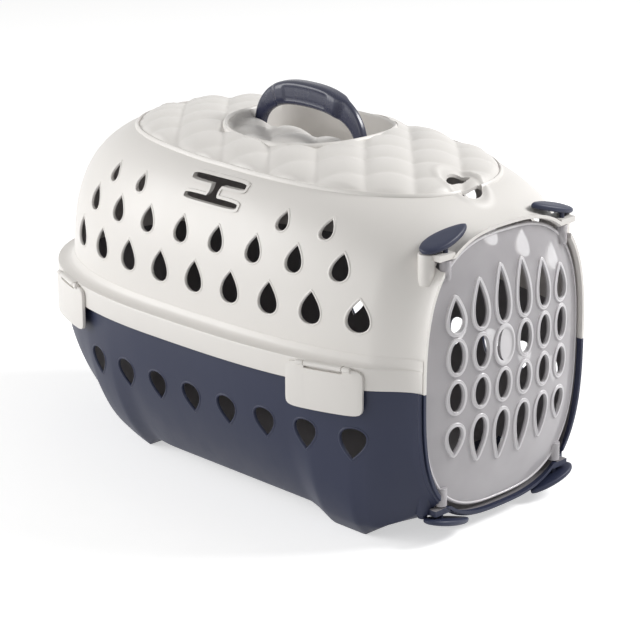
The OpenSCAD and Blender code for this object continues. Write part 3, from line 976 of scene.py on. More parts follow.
@dataclass
class Quilt:
    """The padded pattern of the roof: pillows between two families of diagonal creases."""

    centre_x: float = 20
    half_l: float = 185
    half_w: float = 103
    p: float = 2.6
    across: float = 40.3
    across_start: float = 17.5
    along: float = 29.6
    along_start: float = 24.2
    rise: float = 4.4
    row_rise: float = 1.9
    sink: float = 2.4

    def inside(self, x: float, y: float) -> float:
        """Gives 0 in the middle of the panel and 1 on its lip."""
        return reach(x - self.centre_x, y, self.half_l, self.half_w, self.p)

    def height(self, x: float, y: float) -> float:
        """Gives the pattern's rise over the plain roof.

        Args:
            x: Station.
            y: Place across.

        Returns:
            The rise, or a negative number in a crease.
        """
        r = self.inside(x, y)
        if r >= 1:
            return 0.0
        u, v = (x + y) / math.sqrt(2), (x - y) / math.sqrt(2)
        fu = 2 * (((u - self.across_start) / self.across) % 1) - 1
        fv = 2 * (((v - self.along_start) / self.along) % 1) - 1
        pillow = self.rise * (1 - fu * fu) + self.row_rise * (1 - abs(fv) ** 2.4)
        edge = smooth((1 - r) / 0.035)
        return (pillow - self.sink) * edge


@dataclass
class Dish:
    """The shallow oval dish round a strap eye, with a raised rim."""

    x: float
    a: float = 24
    b: float = 19
    depth: float = 1.4
    rim: float = 1.3
    rim_w: float = 4.0

    def height(self, x: float, y: float) -> float:
        """Gives the dish's change of the roof's height.

        Args:
            x: Station.
            y: Place across.

        Returns:
            The rise, or a negative number inside the rim.
        """
        r = math.hypot((x - self.x) / self.a, y / self.b)
        d = (r - 1) * self.b
        if d > self.rim_w:
            return 0.0
        ridge = self.rim * max(0.0, 1 - (d / self.rim_w) ** 2) ** 1.5 if abs(d) < self.rim_w else 0.0
        return ridge - self.depth * smooth(-d / self.rim_w)


@dataclass
class Recess:
    """The handle's recess in the roof."""

    x: float = 16.5
    a: float = 72
    b: float = 68
    p: float = 2.5
    floor_z: float = 270
    near_y: float = 8
    handle_z: float = 283
    clear_z: float = 330
    boss_r: float = 6
    bore_r: float = 3.06
    near_depth: float = 8

    def sink(self, x: float, y: float) -> float:
        """Gives how far the near half of the recess lies under the plain roof."""
        return self.near_depth * smooth((1 - reach(x - self.x, y, self.a, self.b, self.p)) / 0.11)

    def outline(self, grow: float, n: int = 96) -> np.ndarray:
        """Gives the recess's outline, set out by grow.

        Args:
            grow: Offset outward.
            n: Number of points.

        Returns:
            The points, n by 2.
        """
        pts = oval(self.a + grow, self.b + grow, self.p, n)
        pts[:, 0] += self.x
        return pts

    def far(self, grow: float, y: float) -> np.ndarray:
        """Gives the part of the outline beyond y.

        Args:
            grow: Offset outward.
            y: Place across where the part starts.

        Returns:
            The points, n by 2, anticlockwise.
        """
        pts = self.outline(grow, 720)
        keep = pts[pts[:, 1] > y]
        order = np.argsort(np.arctan2(keep[:, 1] - y, keep[:, 0] - self.x))
        keep = keep[order]
        w = (self.a + grow) * max(0.0, 1 - (abs(y) / (self.b + grow)) ** self.p) ** (1 / self.p)
        return np.concatenate([[[self.x - w, y], [self.x + w, y]], keep])


@dataclass
class UpperShell:
    """The off-white upper shell."""

    hole_pitch: float = 43.4
    first_hole_x: float = 194.5
    long_row_z: float = 195
    middle_row_z: float = 231
    top_row_z: float = 257
    eye_r: float = 15
    eye_bar_w: float = 9
    front_eye_x: float = 197
    rear_eye_x: float = -168
    slot_x: float = 24
    slot_z: float = 266
    slot_l: float = 64
    slot_h: float = 5.5
    slot_rise: float = 14.5
    web_half_l: float = 5
    tongue_r: float = 7
    slot_reach: tuple[float, float] = (95, 160)
    lip_w: float = 3.0
    lip_h: float = 2.2
    ring_w: float = 4.0
    ring_h: float = 3.0
    quilt: Quilt = field(default_factory=Quilt)
    recess: Recess = field(default_factory=Recess)
    dishes: tuple[Dish, ...] = (Dish(195), Dish(-168))

    def roof_z(self, x: float, y: float) -> float:
        """Height of the finished roof over a point of the plan."""
        return FORM.dome_z(x, y) + self.relief(x, y)

    def relief(self, x: float, y: float) -> float:
        """Rise of the pads, the recess and the dishes over the plain roof."""
        dishes = sum(dish.height(x, y) for dish in self.dishes)
        return self.quilt.height(x, y) - self.recess.sink(x, y) + dishes

    def grid(self, t: float) -> np.ndarray:
        """Gives the grid of points of the dome, set in by t.

        Args:
            t: Distance inward from the outside.

        Returns:
            The points, stations by angles by 3.
        """
        rear = FORM.rim_rear - FORM.rear_step - t
        rows = []
        for x in FORM.stations(rear, 2.2):
            row = []
            for phi in np.linspace(0, np.pi, 221):
                px, py, pz = FORM.dome_point(x, phi, t)
                if pz > FORM.parting_z + 60:
                    pz += self.relief(px, py) * smooth((232 - x) / 8)
                row.append((px, py, pz))
            rows.append(row)
        return np.array(rows)

    def holes(self) -> list[AirHole]:
        """Lists the air holes of one side, in three rows.

        Returns:
            The holes.
        """
        rows = [([i * 1.0 for i in range(9)], self.long_row_z, 21, 28),
                ([i + 0.5 for i in range(8)], self.middle_row_z, 17, 23),
                ([1.0, 2.0, 6.0, 7.0], self.top_row_z, 12, 16)]
        return [AirHole(self.first_hole_x - i * self.hole_pitch, z, w, h)
                for places, z, w, h in rows for i in places]

    def slot_shape(self, grow: float) -> list[np.ndarray]:
        """Gives the belt slot's outlines: two bars and the web between them.

        Args:
            grow: Offset outward.

        Returns:
            Two bars and the web, each n by 2.
        """
        shapes = []
        for s in (-1, 1):
            bar = oval(self.slot_l / 2 + grow, self.slot_h / 2 + grow, 5, 48)
            bar[:, 1] += s * self.slot_rise / 2
            shapes.append(bar)
        pts = []
        for s in (1, -1):
            for q in np.linspace(-np.pi / 2, np.pi / 2, 13):
                web = self.web_half_l + grow + self.tongue_r * (1 - math.cos(q))
                pts.append((s * web, s * self.slot_rise / 2 * math.sin(q)))
        shapes.append(np.array(pts))
        return shapes

    def slot_rim(self, side: Side) -> bpy.types.Object:
        """Builds the raised rim round a belt slot.

        Args:
            side: Side of the carrier.

        Returns:
            The rim.
        """
        xs = np.linspace(self.slot_x - 45, self.slot_x + 45, 46)
        angles = np.linspace(0.45, 1.25, 60)

        def patch(t: float) -> np.ndarray:
            """Gives the wall round the slot, set in by t."""
            grid = np.array([[FORM.dome_point(x, q, t) for q in angles] for x in xs])
            grid[:, :, 1] *= -side.value
            return grid

        def bars(grow: float, more: float) -> bpy.types.Object:
            """Builds the slot's shape as one solid.

            Args:
                grow: Offset outward.
                more: Added length at both ends.

            Returns:
                The solid.
            """
            far = sorted((side.value * (90 - more), side.value * (165 + more)))
            parts = [Maker.prism("bar", shape + np.array([self.slot_x, self.slot_z]), *far, axes="xzy")
                     for shape in self.slot_shape(grow)]
            return Maker.combine(parts[0], parts[1:], "UNION")

        rim = Maker.skin("slot_rim", patch(-0.9), patch(1.0))
        Maker.combine(rim, [bars(2.2, 0)], "INTERSECT")
        Maker.combine(rim, [bars(0, 5)], "DIFFERENCE")
        return rim

    def flange(self) -> bpy.types.Object:
        """Builds the rim flange with its rounded edge and the cove up to the wall.

        Returns:
            The flange.
        """
        ledge, run = 5.0, 10.0

        def out(x: float, t: float) -> float:
            """Half width for an inset, running over into the wall above one."""
            if t <= ledge:
                return FORM.rim_w(x, t)
            return mix(FORM.rim_w(x, 0), FORM.dome_w(x, 0), (t - ledge) / run)

        def rear(t: float) -> float:
            """Reach behind the widest station for an inset."""
            if t <= ledge:
                return FORM.rim_rear - t
            return mix(FORM.rim_rear, FORM.rim_rear - FORM.rear_step, (t - ledge) / run)

        top = FORM.parting_z + FORM.flange_h
        low, wall = FORM.parting_z, FORM.wall
        edge = [(wall, low), (0.5, low), (0.1, low + 0.5), (0.0, low + 1.0), (0.0, top - 1.4),
                (0.15, top - 0.7), (0.5, top - 0.2), (1.1, top)]
        cove = [(2.0, 0.2), (5.0, 0.9), (7.5, 2.2), (9.0, 4.4), (9.9, 8.5), (10.6, 9.0), (10.6, -wall)]
        profile = edge + [(ledge + t, top + up) for t, up in cove] + [(wall, top - wall)]
        return sweep_plan(profile, out, rear, FORM.frame_x - 2, "flange")

    @staticmethod
    def ridge(name: str, centre_x: float, a: float, b: float, p: float, w: float, low: float,
              high: float) -> bpy.types.Object:
        """Builds a rounded ridge along an oval of the roof.

        Args:
            name: Name of the solid.
            centre_x: Station of the oval's middle.
            a: Half length of the oval.
            b: Half width of the oval.
            p: Exponent of the oval.
            w: Width of the ridge, inward from the oval.
            low: Depth under the plain roof.
            high: Height over the plain roof.

        Returns:
            The ridge as a closed ring.
        """
        profile = [(0.0, -low), (0.0, high * 0.3), (0.2, high * 0.75), (0.5, high), (0.8, high * 0.75),
                   (1.0, high * 0.3), (1.0, -low)]
        rings = []
        for f, up in profile:
            pts = oval(a - f * w, b - f * w, p, 240)
            rings.append(np.array([[centre_x + x, y, FORM.dome_z(centre_x + x, y) + up] for x, y in pts]))
        return Maker.rings(name, rings, closed=True)

    def pocket(self) -> list[bpy.types.Object]:
        """Builds the pocket's walls, the divider under the near roof and the handle's bosses.

        Returns:
            The solids to join to the shell.
        """
        rc = self.recess
        base = rc.floor_z - FORM.wall
        top = FORM.dome_z(rc.x, rc.b) - 1.7
        wall = Maker.prism("pocket_wall", rc.far(0, -rc.near_y), base, top)
        inner = Maker.prism("pocket_in", rc.far(-FORM.wall, -rc.near_y - 1), rc.floor_z, rc.clear_z)
        Maker.combine(wall, [inner], "DIFFERENCE")
        xs = np.linspace(rc.x - rc.a + 1, rc.x + rc.a - 1, 73)
        crest = [(x, self.roof_z(x, -rc.near_y) - FORM.wall / 2) for x in xs]
        front = np.array([(xs[0], base), (xs[-1], base), *reversed(crest)])
        divider = Maker.prism("divider", front, -rc.near_y - FORM.wall, 1.5 - rc.near_y, axes="xzy")
        parts = [wall, divider]
        for s in (-1, 1):
            x = rc.x + s * (rc.a + 0.5)
            parts.append(Maker.rod("boss", (x - 2, 0, rc.handle_z), (x + 2, 0, rc.handle_z), rc.boss_r))
        return parts

    def eye_half(self, x: float, s: int) -> np.ndarray:
        """Gives the outline of one half of a strap eye, beside its bar.

        Args:
            x: Station of the eye's middle.
            s: Side of the bar, as a sign along X.

        Returns:
            The points, n by 2.
        """
        half, sweep, r = self.eye_bar_w / 2, 1.25, self.eye_r
        arc = [(x + s * r * math.cos(q), r * math.sin(q)) for q in np.linspace(-sweep, sweep, 25)]
        flat = r * math.sin(sweep)
        soft = [(half + 1.5, flat - 0.6), (half, flat - 3), (half, 3 - flat), (half + 1.5, 0.6 - flat)]
        return np.array(arc + [(x + s * across, along) for across, along in soft])

    def cuts(self) -> list[bpy.types.Object]:
        """Builds the solids that cut the pocket, the bores, the slots, the eyes and the holes.

        Returns:
            The cutting solids.
        """
        rc = self.recess
        found = [Maker.prism("pocket_cut", rc.far(-FORM.wall, -rc.near_y), rc.floor_z, rc.clear_z)]
        for s in (-1, 1):
            found.append(Maker.rod("bore", (rc.x + s * (rc.a - 4), 0, rc.handle_z),
                                   (rc.x + s * (rc.a + 1.1), 0, rc.handle_z), rc.bore_r))
            for shape in self.slot_shape(0):
                found.append(Maker.prism("slot", shape + np.array([self.slot_x, self.slot_z]),
                                         *sorted(s * y for y in self.slot_reach), axes="xzy"))
        found.extend(FITTING.cuts((242, 250), (240, 262), (229, 243.2)))
        for x in (self.front_eye_x, self.rear_eye_x):
            found.extend(Maker.prism("eye", self.eye_half(x, s), 240, 320) for s in (-1, 1))
        found.extend(hole.cutter() for hole in self.holes())
        return found

    def build(self) -> bpy.types.Object:
        """Builds the shell and its rims.

        Returns:
            The shell.
        """
        rc, panel = self.recess, self.quilt
        shell = Maker.skin("shell_upper", self.grid(0), self.grid(FORM.wall))
        plain = Maker.twin(shell)
        ledge = FORM.parting_z + FORM.flange_h - FORM.wall
        band = Maker.block("band", (-300, -200, FORM.parting_z - 10), (234, 200, ledge))
        hole = Maker.prism("pocket_hole", rc.far(1.0, -rc.near_y), rc.floor_z, rc.clear_z)
        Maker.combine(shell, [band, hole], "DIFFERENCE")
        adds = [self.flange(), FITTING.solid((243.2, 248.2), (222, 248.2), self.section), *self.pocket()]
        adds.extend(self.slot_rim(side) for side in Side)
        adds.append(self.ridge("recess_rim", rc.x, rc.a + 1.5, rc.b + 1.5, rc.p, self.ring_w, 7, self.ring_h))
        adds.append(self.ridge("panel_lip", panel.centre_x, panel.half_l + 1, panel.half_w + 1, panel.p,
                               self.lip_w, 2.4, self.lip_h))
        Maker.combine(shell, adds, "UNION")
        Maker.combine(shell, self.cuts(), "DIFFERENCE")
        dress(shell, SHELL)
        # The upper shell's inner faces get painted shade: the same plastic, made darker.
        paint_cabin_light(shell, SHELL_PAINTED_SHADE, (0, 0, 150), self.outside)
        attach(shell, "shell")
        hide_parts("upper_shell")
        rims = HoleRims("shell", SHELL)
        for side in Side:
            piece = rims.build(f"upper_hole_rims_{side.name.lower()}", plain, self.holes(), side)
        Maker.scrap(plain)
        return shell

    def outside(self, mid: np.ndarray) -> np.ndarray:
        """Tells which places lie in the handle's recess.

        Args:
            mid: Middles of the faces, n by 3.

        Returns:
            True for each place in the recess.
        """
        rc = self.recess
        over = (np.abs(mid[:, 0] - rc.x) < rc.a + 3) & (np.abs(mid[:, 1]) < rc.b + 3)
        return over & (mid[:, 2] > rc.floor_z - 1)

    def section(self, x: float) -> list[Point]:
        """Gives one closed ring inside the front of the dome, in the middle of its wall."""
        return [FORM.dome_point(x, phi, FORM.wall * 0.6) for phi in np.linspace(0, np.pi, 90)]


def paint_cabin_light(shell: bpy.types.Object, finish: Finish, middle: Point,
                spare: Callable[[np.ndarray], np.ndarray]) -> None:
    """Gives the faces that look into the cabin a copy of the shell's finish with light or shade painted in:
    painted shade inside the upper shell, painted light inside the lower one.

    Args:
        shell: The shell.
        finish: The copy of the shell's finish, with the painted shade or the painted light.
        middle: Middle of the cabin.
        spare: Tells, from the faces' middles, which ones keep the outside's finish.
    """
    mesh = shell.data
    mesh.materials.append(finish.make())
    n = len(mesh.polygons)
    mid, nor = np.zeros(n * 3), np.zeros(n * 3)
    mesh.polygons.foreach_get("center", mid)
    mesh.polygons.foreach_get("normal", nor)
    mid, nor = mid.reshape(-1, 3) / MM, nor.reshape(-1, 3)
    inward = np.einsum("ij,ij->i", nor, mid - np.array(middle)) < -15
    # These inward faces take the copy with painted shade or painted light.
    painted_faces = inward & ~spare(mid) & (mid[:, 0] < 244)
    for i in np.nonzero(painted_faces)[0]:
        mesh.polygons[int(i)].material_index = 1


@dataclass
class LowerShell:
    """The navy lower shell."""

    hole_pitch: float = 43.4
    first_hole_x: float = 194.5
    row_z: float = 87
    hole_w: float = 22
    hole_h: float = 27
    bead_x: float = 244.2
    bead_r: float = 1.8

    def grid(self, t: float) -> np.ndarray:
        """Gives the grid of points of the tub, set in by t.

        Args:
            t: Distance inward from the outside.

        Returns:
            The points, stations by angles by 3.
        """
        rear = FORM.rim_rear - FORM.tub_inset - t
        rows = []
        for x in FORM.stations(rear, 3.0):
            rows.append([FORM.tub_point(x, phi, t) for phi in np.linspace(0, np.pi, 181)])
        return np.array(rows)

    def holes(self) -> list[AirHole]:
        """Lists the air holes of one side, point down."""
        places = [self.first_hole_x - i * self.hole_pitch for i in range(8)]
        return [AirHole(x, self.row_z, self.hole_w, self.hole_h, Level.BOTTOM) for x in places]

    def section(self, x: float) -> list[Point]:
        """Gives one closed ring inside the front of the tub, in the middle of its wall."""
        return [FORM.tub_point(x, phi, FORM.wall * 0.6) for phi in np.linspace(0, np.pi, 90)]

    def bead(self) -> bpy.types.Object:
        """Builds the bead round the lower half of the frame.

        Returns:
            The bead.
        """
        rings = []
        for phi in np.linspace(0, np.pi, 90):
            c, s = math.cos(phi), math.sin(phi)
            ring = []
            for q in np.linspace(0, 2 * np.pi, 12, endpoint=False):
                grow = 0.6 + 1.7 * math.sin(q)
                w = (FORM.frame_half_w + grow) * abs(c) ** (2 / FORM.frame_p)
                d = (FORM.parting_z - FORM.frame_bottom + grow) * s ** (2 / FORM.frame_p)
                x = self.bead_x + self.bead_r * math.cos(q)
                ring.append([x, -math.copysign(w, c), FORM.parting_z - d])
            rings.append(np.array(ring))
        return Maker.rings("bead", rings)

    def build(self) -> bpy.types.Object:
        """Builds the shell and its rims.

        Returns:
            The shell.
        """
        shell = Maker.skin("shell_lower", self.grid(0), self.grid(FORM.wall))
        plain = Maker.twin(shell)
        low, top, wall = FORM.parting_z - 2, FORM.parting_z + FORM.flange_h - FORM.wall, FORM.wall
        profile = [(0, low), (0, top - 0.6), (0.5, top), (wall - 0.5, top), (wall, top - 0.6), (wall, low)]
        tongue = sweep_plan(profile, FORM.tub_w, lambda t: FORM.rim_rear - FORM.tub_inset - t, 222, "tongue")
        fitting = FITTING.solid((24.8, 29.8), (24.8, 54.8), self.section)
        Maker.combine(shell, [tongue, fitting, self.bead()], "UNION")
        cuts = FITTING.cuts((10.8, 30.8), (13, 33), (29.8, 44))
        cuts.extend(hole.cutter() for hole in self.holes())
        Maker.combine(shell, cuts, "DIFFERENCE")
        dress(shell, NAVY)
        # The lower shell's inner faces get painted light: a grey far lighter than the navy.
        paint_cabin_light(shell, NAVY_PAINTED_LIGHT, (0, 0, 110), lambda mid: mid[:, 2] < FORM.floor_z)
        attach(shell, "shell")
        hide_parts("lower_shell")
        rims = HoleRims("shell", NAVY)
        for side in Side:
            piece = rims.build(f"lower_hole_rims_{side.name.lower()}", plain, self.holes(), side)
        Maker.scrap(plain)
        return shell


@dataclass
class Door:
    """The clear bulged door with raised rims round its holes."""

    half_w: float = 96.5
    half_h: float = 118
    x: float = 240
    bulge: float = 13.7
    t: float = 2.5
    pitch: float = 26
    hole_w: float = 15
    lug_r: float = 5
    hook_slip: float = 0.3
    disc_y: float = -13
    disc_z: float = 23.5
    disc_half_w: float = 12.5
    disc_half_h: float = 18
    disc_p: float = 2.1

    def front(self, y: float, z: float) -> float:
        """Station of the door's front face at a point, with z from its middle."""
        r = reach(y, z, self.half_w, self.half_h, FORM.frame_p)
        return self.x + self.t + self.bulge * (1 - min(1.0, r) ** 2.3)

    def on_face(self, outline: np.ndarray, y: float, z: float, up: float) -> np.ndarray:
        """Lays an outline on the door's front face.

        Args:
            outline: The points, n by 2.
            y: Place of its middle across the door.
            z: Place of its middle up from the door's middle.
            up: Distance off the face.

        Returns:
            The points, n by 3.
        """
        return np.array([[self.front(y + a, z + b) + up, y + a, FORM.mid_z + z + b] for a, b in outline])

    def shapes(self) -> list[tuple[float, float, Callable]]:
        """Lists the holes: place across, place up and the outline for an offset.

        Returns:
            The holes.
        """
        found = []
        columns = [0.5 * self.pitch, 1.5 * self.pitch, 2.5 * self.pitch]
        tops = [(66.5, 46), (63.5, 39), (58.5, 29)]
        lows = [(-54.5, 42), (-52, 37), (-48.5, 25)]

        def egg(g: float, h: float = 25) -> np.ndarray:
            """Offsets an oval."""
            return oval(self.hole_w / 2 + g, h / 2 + g, 2, 36)

        def egg_high(g: float) -> np.ndarray:
            """Offsets the upper oval."""
            return egg(g, 27)

        for s in (-1, 1):
            for i, y in enumerate(columns):
                def point_up(g: float, h: float = tops[i][1]) -> np.ndarray:
                    """Offsets a drop with its point up."""
                    return drop(self.hole_w, h, 36, g)

                def point_down(g: float, h: float = lows[i][1]) -> np.ndarray:
                    """Offsets a drop with its point down."""
                    return drop(self.hole_w, h, 36, g)[::-1] * np.array([1, -1])

                found.append((s * y, tops[i][0], point_up))
                found.append((s * y, lows[i][0], point_down))
                found.append((s * y, -11, egg))
                if s > 0 or i > 0:
                    found.append((s * y, self.disc_z, egg_high))
        return found

    def panel(self) -> bpy.types.Object:
        """Builds the panel with a rounded edge.

        Returns:
            The panel.
        """
        rings = []
        n, m = 26, 160
        for i in range(1, n + 1):
            r = i / n
            pts = oval(self.half_w * r, self.half_h * r, FORM.frame_p, m)
            rings.append(self.on_face(pts, 0, 0, -self.t))
        for i in range(n, 0, -1):
            r = i / n
            pts = oval(self.half_w * r, self.half_h * r, FORM.frame_p, m)
            rings.append(self.on_face(pts, 0, 0, 0))
        return Maker.rings("door_panel", rings)

    def crescent(self) -> bpy.types.Object:
        """Builds the gap on one side of the disc.

        Returns:
            The cutting solid.
        """
        middle = np.array([self.disc_y, FORM.mid_z + self.disc_z])
        half_w, half_h, shift = 9.0, 13.5, 3.8
        gap = Maker.prism("gap", oval(half_w, half_h, self.disc_p, 48) + middle, 225, 280, axes="yzx")
        inner = oval(half_w, half_h + 2, self.disc_p, 48) + middle + np.array([shift, 0])
        return Maker.combine(gap, [Maker.prism("rest", inner, 220, 285, axes="yzx")], "DIFFERENCE")

    def edge(self) -> bpy.types.Object:
        """Builds the bead along the door's edge.

        Returns:
            The bead.
        """
        profile = [(-0.4, -1.2), (-0.4, 0.2), (-0.8, 0.8), (-1.5, 1.0), (-2.2, 0.8), (-2.6, 0.2),
                   (-2.6, -0.8)]
        loops = []
        for off, up in profile:
            pts = oval(self.half_w + off, self.half_h + off, FORM.frame_p, 200)
            loops.append(self.on_face(pts, 0, 0, up))
        bead = Maker.rings("door_edge_bead", loops, closed=True)
        # The bead takes the door's lighter copy, a painted highlight.
        dress(bead, DOOR_RIM_HIGHLIGHT, 60)
        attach(bead, "door")
        return bead

    def rim(self, y: float, z: float, outline: Callable) -> bpy.types.Object:
        """Builds the raised rim of one hole.

        Args:
            y: Place across the door.
            z: Place up from the door's middle.
            outline: Gives the hole's outline for an offset.

        Returns:
            The rim.
        """
        profile = [(-0.1, -1.2), (-0.1, 1.1), (0.2, 1.6), (0.7, 1.6), (1.2, 1.1), (1.8, 1.0), (2.3, 1.3),
                   (2.8, 1.1), (3.2, 0.3), (3.3, -1.2)]
        loops = []
        for off, up in profile:
            loops.append(self.on_face(outline(off), y, z, up))
        return Maker.rings("rim", loops, closed=True)

    def disc(self) -> bpy.types.Object:
        """Builds the bare disc between the holes.

        Returns:
            The disc.
        """
        profile = [(1.0, -1.2), (1.0, 1.0), (0.96, 1.5), (0.88, 1.7), (0.80, 1.4), (0.76, 0.7), (0.7, 0.5),
                   (0.4, 0.6), (0.1, 0.6)]
        y, z = self.disc_y, self.disc_z
        loops = []
        for share, up in profile:
            pts = oval(self.disc_half_w * share, self.disc_half_h * share, self.disc_p, 48)
            loops.append(self.on_face(pts, y, z, up))
        disc = Maker.rings("door_disc", loops)
        # The disc takes the door's lighter copy, a painted highlight.
        dress(disc, DOOR_RIM_HIGHLIGHT, 50)
        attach(disc, "door")
        return disc

    def lugs(self) -> list[bpy.types.Object]:
        """Builds the four lugs round the catches' pins.

        Returns:
            The lugs.
        """
        x, y = FITTING.pin_x, FITTING.pin_y
        found = []
        for s in (1, -1):
            for level in Level:
                lo, hi = (226, 242) if level is Level.TOP else (31, 47)
                found.append(Maker.rod("lug", (x, s * y, lo), (x, s * y, hi), self.lug_r, soft=0.5))
        return found

    def eyelets(self) -> list[bpy.types.Object]:
        """Builds the cuts of the hinge side's eyelets and of the other side's open hooks.

        Returns:
            The cutting solids.
        """
        x, y = FITTING.pin_x, FITTING.pin_y
        found = []
        for s in (1, -1):
            r = FITTING.pin_r + (FITTING.slip if s > 0 else self.hook_slip)
            for lo, hi in ((234.5, 246), (27, 38.5)):
                found.append(Maker.rod("eyelet", (x, s * y, lo), (x, s * y, hi), r))
                if s < 0:
                    found.append(Maker.block("mouth", (x - 6.5, -y - r, lo), (x, -y + r, hi)))
        return found

    def build(self) -> list[bpy.types.Object]:
        """Builds the panel, its rims and its disc.

        Returns:
            The panel, the rims, the disc and the bead.
        """
        panel = self.panel()
        Maker.combine(panel, self.lugs(), "UNION")
        cuts = [Maker.prism("hole", outline(0) + np.array([y, FORM.mid_z + z]), 225, 280, axes="yzx")
                for y, z, outline in self.shapes()]
        Maker.combine(panel, cuts + self.eyelets(), "DIFFERENCE")
        dress(panel, DOOR)
        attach(panel, "door")
        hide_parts("door")
        rims = [self.rim(y, z, outline) for y, z, outline in self.shapes()]
        band = rims[0]
        band.name = "door_hole_rims"
        Maker.merge(band, rims[1:])
        # The hole rims take the door's lighter copy, a painted highlight.
        dress(band, DOOR_RIM_HIGHLIGHT, 60)
        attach(band, "door")
        disc = self.disc()
        edge = self.edge()
        for piece in (panel, disc):
            Maker.combine(piece, [self.crescent()], "DIFFERENCE")
        return [panel, band, disc, edge]


@dataclass
class Handle:
    """The arched handle with a thicker grip."""

    x: float = 16.5
    z: float = 283
    out_l: float = 68.5
    h: float = 56
    leg_w: float = 10
    grip_h: float = 22
    leg_t: float = 8.5
    grip_t: float = 16
    grip_half_l: float = 44
    panel_half_l: float = 27
    dent: float = 1.1
    knuckle_r: float = 6.5
    stub_r: float = 3
    stub_end: float = 72.8
    p: float = 2.5
    section_p: float = 3.4

    def build(self) -> bpy.types.Object:
        """Builds the arch, its knuckles and its stubs.

        Returns:
            The handle.
        """
        rings = []
        m = 56
        for phi in np.linspace(0, np.pi, 150):
            c, s = math.cos(phi), math.sin(phi)
            r = (abs(c) ** self.p + abs(s) ** self.p) ** (-1 / self.p)
            out = np.array([self.out_l * c * r, self.h * s * r])
            inn = np.array([(self.out_l - self.leg_w) * c * r, (self.h - self.grip_h) * s * r])
            mid, half = (out + inn) / 2, (out - inn) / 2
            grip = smooth((self.grip_half_l - abs(mid[0])) / 9)
            t = mix(self.leg_t, self.grip_t, grip) / 2
            panel = smooth((self.panel_half_l - abs(mid[0])) / 2.0)
            ring = []
            for q in np.linspace(0, 2 * np.pi, m, endpoint=False):
                cq, sq = math.cos(q), math.sin(q)
                k = (abs(cq) ** self.section_p + abs(sq) ** self.section_p) ** (-1 / self.section_p)
                a, b = cq * k, sq * k
                dent = panel * self.dent * smooth((0.66 - abs(a)) / 0.12) if abs(sq) > 0.3 else 0.0
                pt = mid + half * a
                ring.append([self.x + pt[0], math.copysign(max(0.0, t * abs(b) - dent), b), self.z + pt[1]])
            rings.append(np.array(ring))
        arch = Maker.rings("carry_handle", rings)
        adds = []
        for s in (-1, 1):
            adds.append(Maker.rod("knuckle", (self.x + s * (self.out_l - self.leg_w), 0, self.z),
                                  (self.x + s * self.out_l, 0, self.z), self.knuckle_r, soft=0.7))
            adds.append(Maker.rod("stub", (self.x + s * (self.out_l - 2), 0, self.z),
                                  (self.x + s * self.stub_end, 0, self.z), self.stub_r, soft=0.4))
        Maker.combine(arch, adds, "UNION")
        dress(arch, GRIP, 40)
        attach(arch, "handle")
        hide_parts("handle")
        return arch


CLIP_STATIONS = {"front": 174, "rear": -152}


